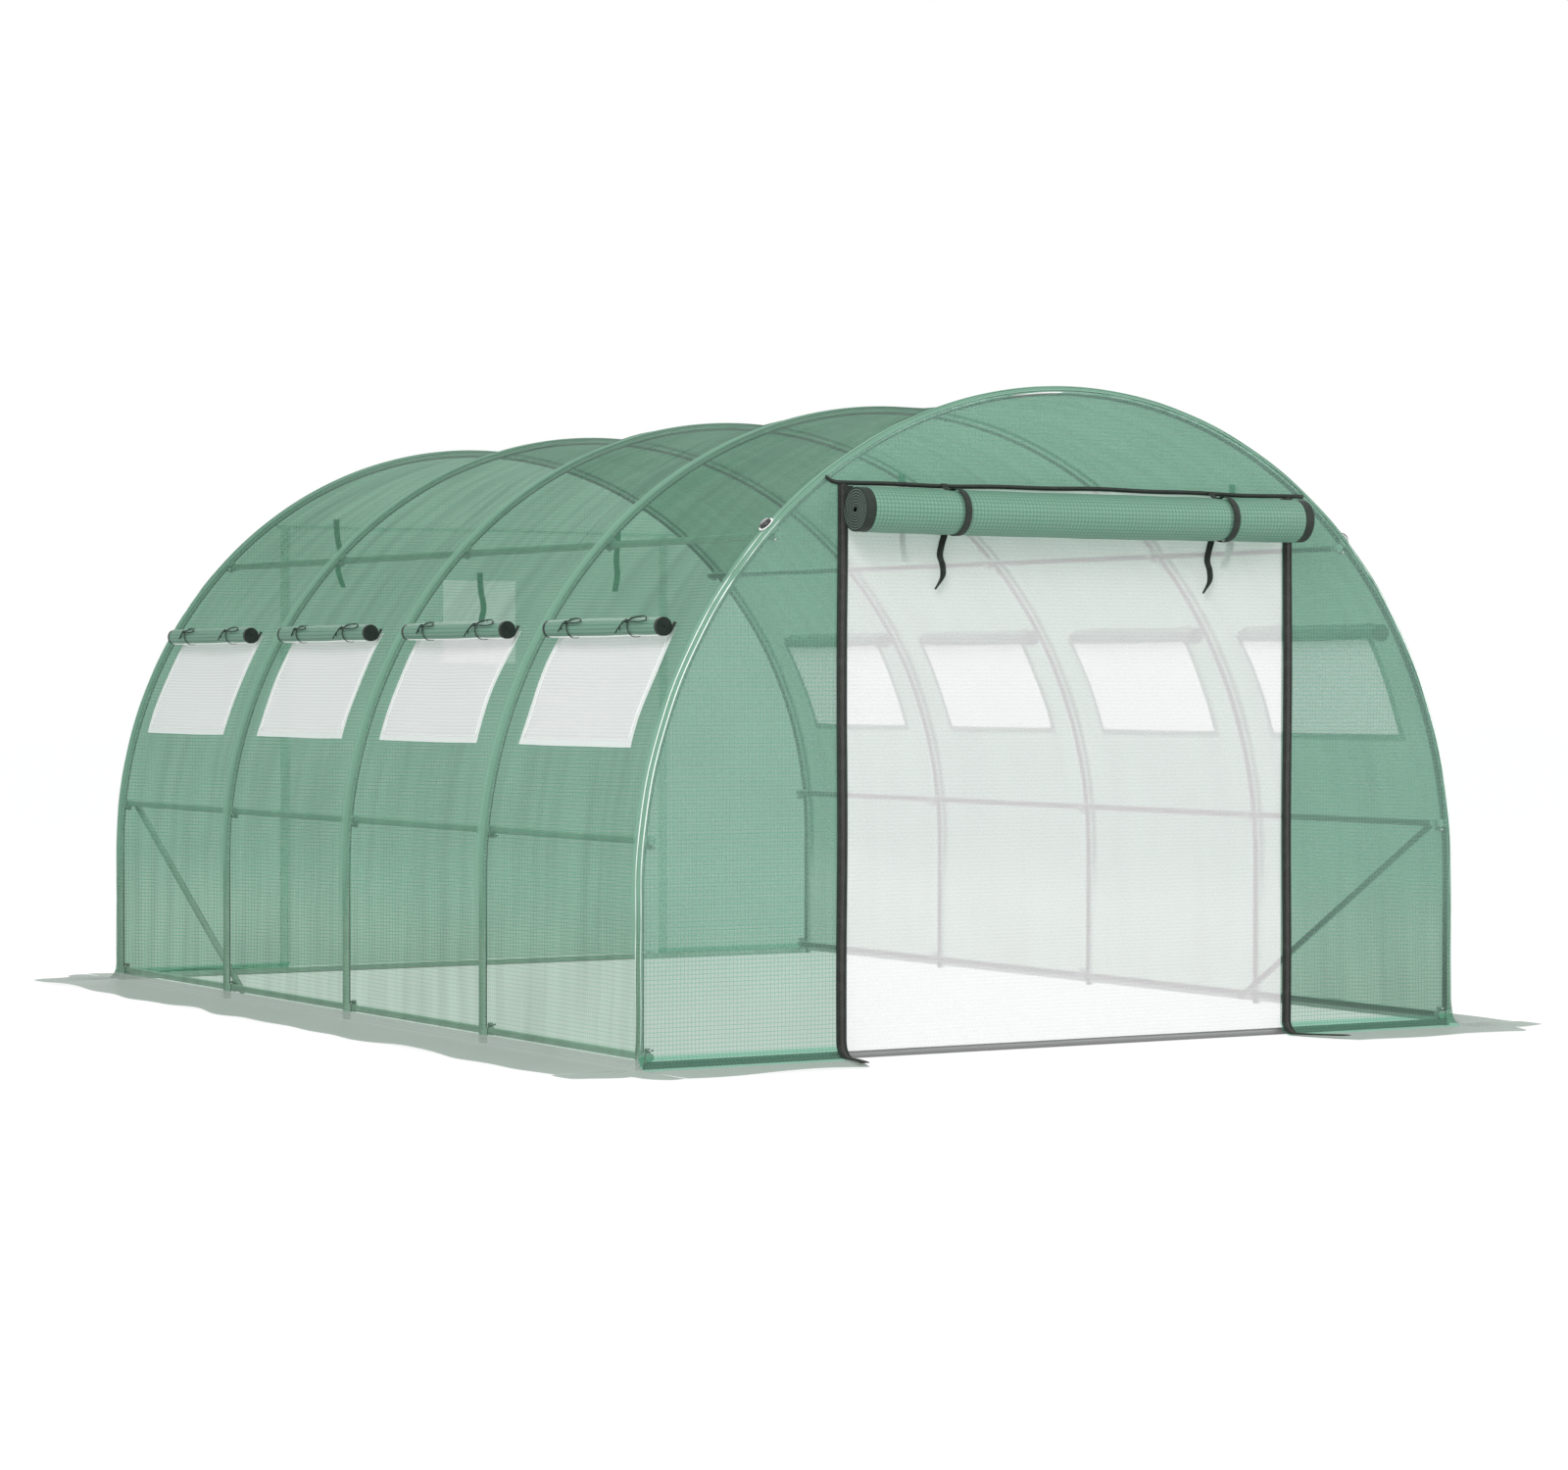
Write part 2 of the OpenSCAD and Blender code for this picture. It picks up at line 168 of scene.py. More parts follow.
# Studio
FLOOR_HALF = 60.0
FLOOR_Z = -0.0015
FLOOR_GLOW = 1.085
FLOOR_GLOW_SHARE = 0.8
SKY_COLOUR = (0.97, 0.99, 1.0)
SKY_STRENGTH = 0.72


# Node graphs
class Graph:
    """Node tree of a new material or world, with short calls for the nodes used here."""

    def __init__(self, name, kind="materials"):
        self.owner = getattr(bpy.data, kind).new(name)
        self.owner.use_nodes = True
        self.tree = self.owner.node_tree
        self.tree.nodes.clear()

    def add(self, kind, inputs=None, **settings):
        node = self.tree.nodes.new("ShaderNode" + kind)
        for key, value in settings.items():
            setattr(node, key, value)
        for key, value in (inputs or {}).items():
            self.set(node.inputs[key], value)
        return node

    def set(self, socket, value):
        if isinstance(value, bpy.types.NodeSocket):
            self.tree.links.new(value, socket)
        elif hasattr(value, "__len__") and len(value) == 3 and socket.type == "RGBA":
            socket.default_value = (*value, 1.0)
        else:
            socket.default_value = value

    def math(self, operation, *values):
        return self.add("Math", dict(enumerate(values)), operation=operation).outputs[0]

    def ramp(self, value, low, high, at_low, at_high):
        keys = ("Value", "From Min", "From Max", "To Min", "To Max")
        return self.add("MapRange", dict(zip(keys, (value, low, high, at_low, at_high)))).outputs[0]

    def mix(self, factor, a, b, way="MIX"):
        return self.add("Mix", {0: factor, 6: a, 7: b}, data_type="RGBA", blend_type=way).outputs[2]

    def noise(self, where, scale, detail):
        return self.add("TexNoise", {"Vector": where, "Scale": scale, "Detail": detail}).outputs["Fac"]

    def uv(self):
        return self.add("UVMap", uv_map="UVMap").outputs[0]

    def place(self):
        return self.add("TexCoord").outputs["Object"]

    def parts(self, vector):
        return self.add("SeparateXYZ", {0: vector}).outputs

    def lines(self, value, pitch, width, soft):
        """1 on lines of that width and pitch along value, 0 between them."""
        near = self.math("PINGPONG", value, pitch / 2)
        return self.ramp(near, width / 2 - soft, width / 2 + soft, 1.0, 0.0)

    def grid(self, where, pitch, width, soft):
        across, down, _ = self.parts(where)
        return self.math("MAXIMUM", *[self.lines(way, pitch, width, soft) for way in (across, down)])

    def bump(self, height, distance):
        return self.add("Bump", {"Height": height, "Distance": distance}).outputs[0]

    def bsdf(self, kind, inputs):
        return self.add("Bsdf" + kind, inputs).outputs[0]

    def blend(self, factor, a, b):
        return self.add("MixShader", {0: factor, 1: a, 2: b}).outputs[0]

    def done(self, surface, kind="OutputMaterial"):
        self.add(kind, {"Surface": surface})
        return self.owner


# Materials
FILM_THREAD = (0.46, 0.88, 0.72)
PALE_THREAD = (0.72, 0.89, 0.80)
FILM_GREEN = (0.277, 0.471, 0.381)
HOOP_HAZE = (0.21, 0.385, 0.285)


def film_material(name, clear, ridge=None, fade=(0, 1), thread=FILM_THREAD, solid=FILM_GREEN, scatter=0.03,
                  gloss=0.03, streak=0.0, taut=0.0, foot=(0.0, 1.0, 1.0)):
    """See-through sheet with a square grid of green threads in it. It lets through the clear colour, or
    the ridge colour at its top, which fades out between two distances down the sheet, and thread is what
    a thread leaves of them; scatter is the share that the solid colour takes. streak is how much painted
    shade the streaks of creases across the cover take away, with a third of it added back as painted
    light between them, and taut how much more it scatters where it is drawn tight over the hoops. foot
    holds two distances down the sheet, between which scatter falls off and the threads grow paler, and
    the share that is left. The cover, which has these painted streaks, goes down both ways from V 0."""
    g = Graph(name)
    uv = g.uv()
    along, across, _ = g.parts(uv)
    grid = g.grid(uv, THREAD_PITCH, THREAD_W, THREAD_SOFT)
    cloud = g.ramp(g.noise(uv, 2.3, 4.0), 0.3, 0.7, 0.95, 1.03)
    crease = g.noise(uv, 38.0, 3.0)
    normal = g.bump(g.math("ADD", grid, g.math("MULTIPLY", crease, 2.2)), 0.0006)
    down = g.math("ABSOLUTE", across) if streak else g.math("MULTIPLY", across, -1.0)
    start, end, left = foot
    fall = g.ramp(down, start, end, 1.0, left)
    tint = g.mix(g.ramp(down, *fade, 0.0, 1.0), ridge or clear, clear)
    shades = [g.mix(grid, (1, 1, 1), g.mix(fall, PALE_THREAD, thread)), cloud]
    if streak:
        # Painted shade in streaks across the cover, with a little painted light between them
        bent = g.add("VectorMath", {0: uv, 1: (13.0, 0.8, 1.0)}, operation="MULTIPLY").outputs[0]
        crease_shade = g.ramp(g.noise(bent, 1.0, 3.0), 0.42, 0.72, 0.0, 1.0)
        depth = g.math("MULTIPLY", crease_shade, g.ramp(down, 0.8, 2.2, 1.0, 0.55))
        shades.append(g.ramp(depth, 0.0, 1.0, 1.0 + streak / 3, 1.0 - streak))
    for shade in shades:
        tint = g.mix(1.0, tint, shade, "MULTIPLY")
    face = g.bsdf("Diffuse", {"Color": solid, "Normal": normal})
    back = g.bsdf("Translucent", {"Color": solid, "Normal": normal})
    haze = g.math("MULTIPLY", g.ramp(grid, 0.0, 1.0, scatter, min(0.9, scatter * 1.5)), fall)
    lit = g.blend(haze, g.bsdf("Transparent", {0: tint}), g.blend(0.45, face, back))
    if taut:
        near = g.math("PINGPONG", g.math("SUBTRACT", along, HOOP_YS[0]), PITCH / 2)
        share = g.math("MULTIPLY", g.ramp(near, HOOP_D * 0.7, HOOP_D * 1.4, taut, 0.0), fall)
        lit = g.blend(share, lit, g.bsdf("Diffuse", {"Color": HOOP_HAZE}))
    shine = g.bsdf("Glossy", {"Color": (1, 1, 1), "Roughness": 0.3, "Normal": normal})
    facing = g.add("LayerWeight", {"Blend": 0.5}).outputs["Facing"]
    edge = g.ramp(g.math("POWER", facing, 5.0), 0.0, 1.0, 0.04 * gloss, gloss)
    return g.done(g.blend(edge, lit, shine))


def mesh_material(name, cover, through, white, clear, weight):
    """Fine insect mesh: white threads that scatter, with clear holes between them; cover is the share
    of threads and through the share of their light that passes to the other side. Denser rows run
    across it, with that much weight."""
    g = Graph(name)
    uv = g.uv()
    grid = g.grid(uv, 0.0024, 0.0009, 0.0004)
    slub = g.noise(uv, 190.0, 3.0)
    rows = g.lines(g.parts(uv)[1], MESH_ROWS, MESH_ROWS * 0.3, MESH_ROWS * 0.15)
    fill = g.math("ADD", g.ramp(slub, 0.3, 0.7, cover - 0.07, cover + 0.05), g.math("MULTIPLY", rows, weight))
    fill = g.math("ADD", fill, g.ramp(grid, 0.0, 1.0, -0.03, 0.03))
    normal = g.bump(grid, 0.0004)
    face = g.bsdf("Diffuse", {"Color": white, "Roughness": 0.6, "Normal": normal})
    back = g.bsdf("Translucent", {"Color": white, "Normal": normal})
    return g.done(g.blend(fill, g.bsdf("Transparent", {0: clear}), g.blend(through, face, back)))


def rolled_material(name, colour, thread):
    """Many layers of the film on each other: solid, with the grid still showing."""
    g = Graph(name)
    uv = g.uv()
    grid = g.grid(uv, THREAD_PITCH, 0.003, 0.0008)
    cloud = g.noise(uv, 9.0, 3.0)
    base = g.mix(grid, colour, thread)
    base = g.mix(g.ramp(cloud, 0.35, 0.75, 0.0, 0.25), base, [c * 0.75 for c in colour])
    normal = g.bump(g.math("ADD", grid, g.math("MULTIPLY", g.noise(uv, 60.0, 3.0), 1.5)), 0.0007)
    face = g.bsdf("Principled", {"Base Color": base, "Roughness": 0.42, "Normal": normal})
    back = g.bsdf("Translucent", {"Color": g.mix(0.5, base, (0.6, 0.8, 0.7)), "Normal": normal})
    return g.done(g.blend(0.4, face, back))


def webbing_material(name, colour, rough, pitch):
    """Woven tape: ribs across it and a slightly worn, lighter nap."""
    g = Graph(name)
    uv = g.uv()
    ribs = g.lines(g.parts(uv)[1], pitch, pitch * 0.5, pitch * 0.2)
    wear = g.ramp(g.noise(uv, 30.0, 4.0), 0.45, 0.8, 0.0, 0.5)
    keys = {
        "Base Color": g.mix(wear, colour, [min(1.0, c * 1.9 + 0.01) for c in colour]),
        "Roughness": rough,
        "Normal": g.bump(g.math("ADD", ribs, g.math("MULTIPLY", g.noise(uv, 900.0, 2.0), 0.6)), 0.0004),
        "Sheen Weight": 0.03,
        "Specular IOR Level": 0.25,
    }
    return g.done(g.bsdf("Principled", keys))


def plastic_material(name, colour, rough):
    """Moulded or welded plastic with faint mottling."""
    g = Graph(name)
    where = g.place()
    mottle = g.noise(where, 140.0, 3.0)
    lighter = [min(1.0, c * 1.35 + 0.008) for c in colour]
    keys = {
        "Base Color": g.mix(g.ramp(mottle, 0.3, 0.7, 0.0, 0.35), colour, lighter),
        "Roughness": g.ramp(g.noise(where, 60.0, 2.0), 0.3, 0.7, rough - 0.06, rough + 0.08),
        "Normal": g.bump(mottle, 0.0002),
    }
    return g.done(g.bsdf("Principled", keys))


def steel_material(name, inner, outer):
    """Galvanised tube: zinc with spangle and a few dull streaks, in the inner grey as painted shade on the
    sides that face into the tunnel and in the outer colour as painted light on the others."""
    g = Graph(name)
    shape = g.add("NewGeometry").outputs
    spot = g.parts(shape["Position"])
    rise = g.math("MAXIMUM", g.math("SUBTRACT", spot[2], LEG_H), 0.0)
    away = g.add("CombineXYZ", {0: spot[0], 2: rise}).outputs[0]
    away = g.add("VectorMath", {0: away}, operation="NORMALIZE").outputs[0]
    turned = g.add("VectorMath", {0: away, 1: shape["Normal"]}, operation="DOT_PRODUCT").outputs["Value"]
    where = g.place()
    spangle = g.add("TexVoronoi", {"Vector": where, "Scale": 160.0}).outputs["Color"]
    flake = g.add("SeparateColor", {0: spangle}).outputs[0]
    streak = g.noise(where, 14.0, 5.0)
    dull = g.math("ADD", g.ramp(flake, 0.0, 1.0, 0.0, 0.5), g.ramp(streak, 0.5, 0.75, 0.0, 0.5))
    # Painted shade: the darker inner grey on sides that face into the tunnel, and the lighter outer colour as
    # painted light on the rest.
    base = g.mix(g.ramp(turned, -0.5, -0.2, 0.0, 1.0), [inner] * 3, outer)
    keys = {
        "Base Color": g.mix(g.math("MULTIPLY", dull, 0.25), base, [inner * 0.85] * 3),
        "Metallic": 0.1,
        "Roughness": g.ramp(g.math("ADD", flake, streak), 0.3, 1.5, 0.36, 0.56),
        "Normal": g.bump(streak, 0.0003),
    }
    return g.done(g.bsdf("Principled", keys))


def tape_material():
    """White welded tape that lets some light through, so it stays pale from inside too."""
    g = Graph("window_tape")
    mottle = g.noise(g.place(), 140.0, 3.0)
    base = g.mix(g.ramp(mottle, 0.3, 0.7, 0.0, 1.0), (0.93, 0.935, 0.93), (0.98, 0.985, 0.98))
    normal = g.bump(mottle, 0.0002)
    face = g.bsdf("Principled", {"Base Color": base, "Roughness": 0.45, "Normal": normal})
    back = g.bsdf("Translucent", {"Color": base, "Normal": normal})
    clear = g.bsdf("Transparent", {0: (0.9, 0.95, 0.92)})
    return g.done(g.blend(0.03, g.blend(0.35, face, back), clear))


def seam_material():
    """Welded seam bead: green, with a painted white highlight down the legs that breaks up and fades out over
    the arc and is weaker near the foot.
    """
    g = Graph("seam_bead")
    where = g.place()
    patch = g.ramp(g.noise(where, 9.0, 3.0), 0.3, 0.7, -0.2, 0.2)
    height = g.math("ADD", g.parts(where)[2], patch)
    # Painted highlight: white below about 1.3 m, broken up by noise, fading to green above 1.55 m and weaker
    # near the foot.
    painted_highlight = g.math("MULTIPLY", g.ramp(height, 1.3, 1.55, 1.0, 0.04), g.ramp(height, 0.25, 0.75, 0.4, 1.0))
    base = g.mix(painted_highlight, (0.19, 0.345, 0.26), (0.80, 0.87, 0.83))
    return g.done(g.bsdf("Principled", {"Base Color": base, "Roughness": 0.65, "Specular IOR Level": 0.2}))


COVER_FILM = film_material("cover_film", (0.522, 0.600, 0.544), (0.365, 0.475, 0.393), (0.7, 1.9),
                           scatter=0.25, streak=0.22, taut=0.7, foot=(S_LEG - 0.45, S_LEG - 0.25, 0.1))
GABLE_FILM = film_material("gable_film", (0.660, 0.717, 0.677), (0.900, 0.935, 0.915), (-0.04, 0.1),
                           scatter=0.45, foot=(HEADER_Z - 0.5, HEADER_Z - 0.15, 0.45))
FOOT_FILM = film_material("foot_film", (0.38, 0.62, 0.50), scatter=0.3)
REAR_FILM = film_material("rear_gable_film", (0.650, 0.706, 0.666), (0.740, 0.790, 0.755), (-0.04, 0.1))
HEM_FILM = film_material("hem_film", (0.88, 0.94, 0.91), thread=(1, 1, 1), scatter=0.02)
SKIRT_FILM = film_material("skirt_film", (0.42, 0.48, 0.44), thread=(0.94, 0.97, 0.95),
                           solid=(0.46, 0.52, 0.48), scatter=0.55, gloss=0.1)
ROLLED_FILM = rolled_material("rolled_film", (0.295, 0.490, 0.380), (0.085, 0.29, 0.19))
# Pale wall side of the window flaps: painted light that stands in for light coming through the rolled film.
FLAP_BACK_PAINTED_LIGHT = plastic_material("flap_back_painted_light", (0.90, 0.95, 0.92), 0.6)
DOOR_MESH = mesh_material("door_mesh", 0.58, 0.25, (1.0, 0.945, 0.975), (0.93, 1.0, 0.955), 0.05)
REAR_MESH = mesh_material("rear_mesh", 0.36, 0.5, (0.94, 0.94, 0.94), (1, 1, 1), 0.1)
WINDOW_MESH = mesh_material("window_mesh", 0.75, 0.5, (0.94, 0.895, 0.92), (1, 1, 1), 0.16)
WINDOW_TAPE = tape_material()
DARK_TAPE = webbing_material("dark_binding", (0.017, 0.024, 0.019), 0.62, 0.002)
DARK_HEM = webbing_material("dark_hem", (0.014, 0.022, 0.017), 0.6, 0.003)
TIE_CORD = webbing_material("tie_cord", (0.018, 0.045, 0.032), 0.7, 0.0016)
PALE_TAPE = webbing_material("pale_tie", (0.13, 0.40, 0.26), 0.7, 0.002)
HEM_RING = plastic_material("hem_ring", (0.21, 0.26, 0.23), 0.5)
ZIP_FLAP = webbing_material("zip_flap", (0.040, 0.037, 0.033), 0.6, 0.002)
ZIP_COIL = plastic_material("zip_coil", (0.05, 0.055, 0.052), 0.32)
CAP_BLACK = plastic_material("cap_black", (0.020, 0.021, 0.021), 0.3)
CAP_WHITE = plastic_material("cap_white", (0.84, 0.85, 0.84), 0.35)
SEAM_BEAD_PAINTED_HIGHLIGHT = seam_material()
# Tubes and clamps with painted shade on their inner sides and painted light on their outer sides; the dull
# sill tube is one grey.
STEEL_WITH_PAINTED_SHADE = steel_material("galvanised_tube", 0.17, (0.80, 0.86, 0.82))
DULL_STEEL = steel_material("dull_galvanised_tube", 0.22, (0.22, 0.22, 0.22))
CLAMP_STEEL_WITH_PAINTED_SHADE = steel_material("galvanised_clamp_painted_shade", 0.46, (0.80, 0.86, 0.82))
FRAME_FINISH = {"front_sill": DULL_STEEL, "rail_clamps": CLAMP_STEEL_WITH_PAINTED_SHADE, "foot_clamps": CLAMP_STEEL_WITH_PAINTED_SHADE}
ZINC_BOLT = plastic_material("zinc_bolt", (0.42, 0.43, 0.43), 0.34)


# Meshes
class Build:
    """Collects grids, lofts and small solids, and joins them into one piece."""

    def __init__(self):
        self.points, self.faces, self.uvs, self.parts = [], [], [], []

    def put(self, points, faces, uvs, part=0):
        start = len(self.points)
        self.points.extend(np.asarray(points, float).reshape(-1, 3))
        self.uvs.extend(np.asarray(uvs, float).reshape(-1, 2))
        self.faces.extend([tuple(start + i for i in f) for f in faces])
        self.parts.extend(part if hasattr(part, "__len__") else [part] * len(faces))

    def grid(self, points, uvs, keep=None, part=0):
        """Quads over a grid of points; keep leaves quads out, part numbers their material."""
        rows, cols = points.shape[:2]
        index = np.arange(rows * cols).reshape(rows, cols)
        quads = pack(index[:-1, :-1], index[1:, :-1], index[1:, 1:], index[:-1, 1:])
        numbers = np.broadcast_to(part, quads.shape[:2])
        chosen = np.ones(quads.shape[:2], bool) if keep is None else keep
        used, inverse = np.unique(quads[chosen], return_inverse=True)
        flat, flat_uv = points.reshape(-1, 3)[used], uvs.reshape(-1, 2)[used]
        self.put(flat, inverse.reshape(-1, 4).tolist(), flat_uv, numbers[chosen].tolist())

    def loft(self, rings, uvs, part=0):
        """Closed rings of points joined into a skin, with flat ends."""
        rings = np.asarray(rings, float)
        index = np.arange(rings.shape[0] * rings.shape[1]).reshape(rings.shape[:2])
        beside = np.roll(index, -1, 1)
        quads = pack(index[:-1], beside[:-1], beside[1:], index[1:]).reshape(-1, 4)
        self.put(rings, [*quads.tolist(), index[0, ::-1].tolist(), index[-1].tolist()], uvs, part)

    def tube(self, path, radius, sides):
        """Round bar along a path; radius may be one number or one for each point."""
        path = np.asarray(path, float)
        along = tangents(path)
        first = steady_normals(along)
        second = np.cross(along, first)
        radii = np.broadcast_to(radius, len(path))
        turn = np.arange(sides) * 2 * math.pi / sides
        offsets = np.cos(turn)[None, :, None] * first[:, None] + np.sin(turn)[None, :, None] * second[:, None]
        uvs = [[(j / sides * 0.02, s) for j in range(sides)] for s in lengths(path)]
        self.loft(path[:, None] + offsets * radii[:, None, None], uvs)

    def ribbon(self, path, across, width, thickness, part=0):
        """Flat tape along a path, with thin edges; across is its width's direction at each point, and
        width may be one number or one for each point."""
        path = np.asarray(path, float)
        across = np.broadcast_to(np.asarray(across, float), path.shape)
        across = across / np.linalg.norm(across, axis=1)[:, None]
        up = np.cross(tangents(path), across)
        half = np.broadcast_to(width, len(path)) / 2
        flat, lip = half - np.minimum(half * 0.24, 0.003), thickness / 2
        outline = [(-half, 0), (-flat, lip), (flat, lip), (half, 0), (flat, -lip), (-flat, -lip)]
        rings = np.stack([path + across * a[:, None] + up * b for a, b in outline], 1)
        run = lengths(path)
        self.loft(rings, np.stack([pack(a, run) for a, _ in outline], 1), part)

    def revolve(self, profile, centre, axis, side, sides=40):
        """Solid of revolution; profile holds (radius, height) from its foot to its top."""
        axis, side = Vector(axis).normalized(), Vector(side).normalized()
        other = axis.cross(side)
        turn = [2 * math.pi * j / sides for j in range(sides)]
        spokes = [side * math.cos(t) + other * math.sin(t) for t in turn]
        rings = [[Vector(centre) + axis * height + spoke * radius for spoke in spokes]
                 for radius, height in profile]
        self.loft(rings, [[(j * 0.002, h) for j in range(sides)] for _, h in profile])

    def piece(self, name, *materials):
        """Joins all of it into one mesh piece."""
        mesh = bpy.data.meshes.new(name)
        mesh.from_pydata([tuple(p) for p in self.points], [], self.faces)
        for material in materials:
            mesh.materials.append(material)
        corners = np.zeros(len(mesh.loops), int)
        mesh.loops.foreach_get("vertex_index", corners)
        layer = mesh.uv_layers.new(name="UVMap")
        layer.data.foreach_set("uv", np.asarray(self.uvs, float)[corners].ravel())
        mesh.polygons.foreach_set("material_index", np.asarray(self.parts, int))
        mesh.polygons.foreach_set("use_smooth", np.ones(len(mesh.polygons), bool))
        mesh.validate()
        piece = bpy.data.objects.new(name, mesh)
        bpy.context.scene.collection.objects.link(piece)
        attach(piece, "root")
        return piece


def spaced(*knots):
    """Numbers from the first knot to the last, with a count of even steps between each two of them."""
    made = [knots[:1]]
    for start, steps, end in zip(knots[:-1:2], knots[1::2], knots[2::2]):
        made.append(np.linspace(start, end, steps + 1)[1:])
    return np.concatenate(made)


def middles(values):
    """Middles between neighbours."""
    return (values[1:] + values[:-1]) / 2


def pack(*parts):
    """Points or UVs from arrays of their parts."""
    return np.stack(parts, -1)


def lengths(path):
    """Running length along a path."""
    steps = np.linalg.norm(np.diff(path, axis=0), axis=1)
    return np.concatenate([[0.0], np.cumsum(steps)])


def tangents(path):
    """Direction of a path at each of its points."""
    along = np.gradient(path, axis=0)
    return along / np.maximum(np.linalg.norm(along, axis=1)[:, None], 1e-9)


def steady_normals(along):
    """Normals carried along a path's directions without twist."""
    current = np.array([0.0, 0.0, 1.0]) if abs(along[0][2]) < 0.9 else np.array([1.0, 0.0, 0.0])
    normals = []
    for t in along:
        current = current - t * np.dot(current, t)
        current = current / np.linalg.norm(current)
        normals.append(current)
    return np.array(normals)


def smooth(path, count):
    """Catmull-Rom curve through a few points."""
    path = np.asarray(path, float)
    padded = np.vstack([2 * path[0] - path[1], path, 2 * path[-1] - path[-2]])
    spans = len(path) - 1
    made = []
    for value in np.linspace(0, spans, count):
        i = min(int(value), spans - 1)
        t = value - i
        a, b, c, d = padded[i:i + 4]
        made.append(0.5 * (2 * b + (c - a) * t + (2 * a - 5 * b + 4 * c - d) * t ** 2
                           + (3 * b - 3 * c + d - a) * t ** 3))
    return np.array(made)


def ease(value):
    """Smooth step from 0 to 1."""
    t = np.clip(value, 0.0, 1.0)
    return t * t * (3 - 2 * t)


# Shape of the cover: its section, how deep it sags between hoops at distances down the sheet, its folds
SAG = [(0, 0.030), (0.7, 0.026), (S_HEAD, 0.014), (S_SILL, 0.012), (S_ARC, 0.014), (S_LEG, 0.0)]
HOOP_GRIP = 0.012
GRIP_FADE = 0.05
FOOT_FADE = 0.1
SKIRT_LIFT = 0.004
SKIRT_WANDER = 0.010
SKIRT_START = 0.02
LAST_COLUMN = 0.002


def section(s):
    """Point and outward normal in the tunnel's section at s down the sheet from the ridge."""
    side = np.where(np.asarray(s) < 0, -1.0, 1.0)
    d = np.abs(s)
    angle = math.pi / 2 - np.minimum(d, S_ARC) / COVER_R
    turn = np.clip((d - S_LEG) / FLARE_MID, 0, math.pi / 2)
    x = COVER_R * np.cos(angle)
    z = LEG_H + COVER_R * np.sin(angle) - np.clip(d - S_ARC, 0, S_LEG - S_ARC)
    x = x + FLARE_MID * (1 - np.cos(turn)) + np.maximum(d - S_FLARE, 0)
    z = z - FLARE_MID * np.sin(turn)
    nx = np.where(d < S_ARC, np.cos(angle), np.cos(turn))
    nz = np.where(d < S_ARC, np.sin(angle), np.sin(turn))
    return x * side, z, nx * side, nz


def fold_lines():
    """Folds as (start, end, width, depth) in (length along the tunnel, distance down the sheet): some
    down from each hoop, some from the lower corners of each window and some below its sill."""
    draw = rng.uniform
    folds = []
    for side in (-1, 1):
        for middle in BAY_YS:
            for end in (-1, 1):
                hoop = middle + end * PITCH / 2
                for _ in range(7):
                    gap = draw(0.03, 0.42)
                    top = draw(-0.25, 0.5)
                    foot = top + draw(0.7, 1.3)
                    lean = draw(0.0, 0.10)
                    folds.append(((hoop - end * (gap + lean), side * top),
                                  (hoop - end * gap * 0.6, side * foot),
                                  draw(0.010, 0.024), draw(-0.0045, 0.0035)))
                corner = middle + end * (WINDOW_HALF + TRIM_W)
                for _ in range(3):
                    reach = draw(0.25, 0.65)
                    folds.append(((corner - end * draw(0.0, 0.12), side * (S_SILL + 0.02)),
                                  (hoop - end * draw(0.03, 0.12), side * (S_SILL + reach)),
                                  draw(0.014, 0.03), draw(-0.006, 0.004)))
            for _ in range(6):
                y = middle + draw(-0.44, 0.44)
                top = S_SILL + draw(0.1, 0.5)
                folds.append(((y, side * top),
                              (y + draw(-0.1, 0.1), side * draw(S_ARC + 0.1, S_LEG)),
                              draw(0.018, 0.045), draw(-0.006, 0.006)))
    return folds


FOLDS = fold_lines()

# Faint waves all over the cover, as (direction, rate, phase, height)
WAVES = [(rng.uniform(0, math.pi), rng.uniform(9, 26), rng.uniform(0, 6.28), rng.uniform(0.0004, 0.0011))
         for _ in range(10)]


def outward(y, s):
    """How far the sheet stands out from its plain shape, in metres; minus where it sags in."""
    bay = np.clip((y - HOOP_YS[0]) / PITCH, 0, len(BAY_YS) - 1e-6) % 1.0
    bow = 4 * bay * (1 - bay)
    d = np.abs(s)
    depth = np.interp(d, *zip(*SAG))
    from_hoop = np.minimum(bay, 1 - bay) * PITCH
    free = ease((from_hoop - HOOP_GRIP) / GRIP_FADE)
    total = np.zeros_like(y + s)
    for (y0, s0), (y1, s1), width, height in FOLDS:
        dy, ds = y1 - y0, s1 - s0
        run = dy * dy + ds * ds
        t = np.clip(((y - y0) * dy + (s - s0) * ds) / run, 0, 1)
        away = (y - y0 - t * dy) ** 2 + (s - s0 - t * ds) ** 2
        total = total + height * np.exp(-away / width ** 2) * np.sin(math.pi * np.clip(t, 0.02, 0.98)) ** 0.6
    for angle, rate, phase, height in WAVES:
        total = total + height * np.sin(rate * (y * math.cos(angle) + s * math.sin(angle)) + phase)
    calm = ease((S_LEG - d) / FOOT_FADE)
    return -depth * bow + total * free * calm


def cover_points(y, s, lift=0.0):
    """Points of the cover at y along the sheet and s down from the ridge, over the gable hoops too."""
    y, s = np.broadcast_arrays(np.asarray(y, float), np.asarray(s, float))
    x, z, nx, nz = section(s)
    hold = ease((z - FLARE_R) / EDGE_OPENS)
    phi = np.clip((np.abs(y) - EDGE_START) / EDGE_R, 0, math.pi / 2)
    round_in = EDGE_R * (1 - np.cos(phi)) * hold
    flat_y = np.where(phi > 0, np.sign(y) * (EDGE_START + EDGE_R * np.sin(phi)), y)
    off = outward(flat_y, s) - round_in + lift
    return pack(x + nx * off, flat_y, z + nz * off)


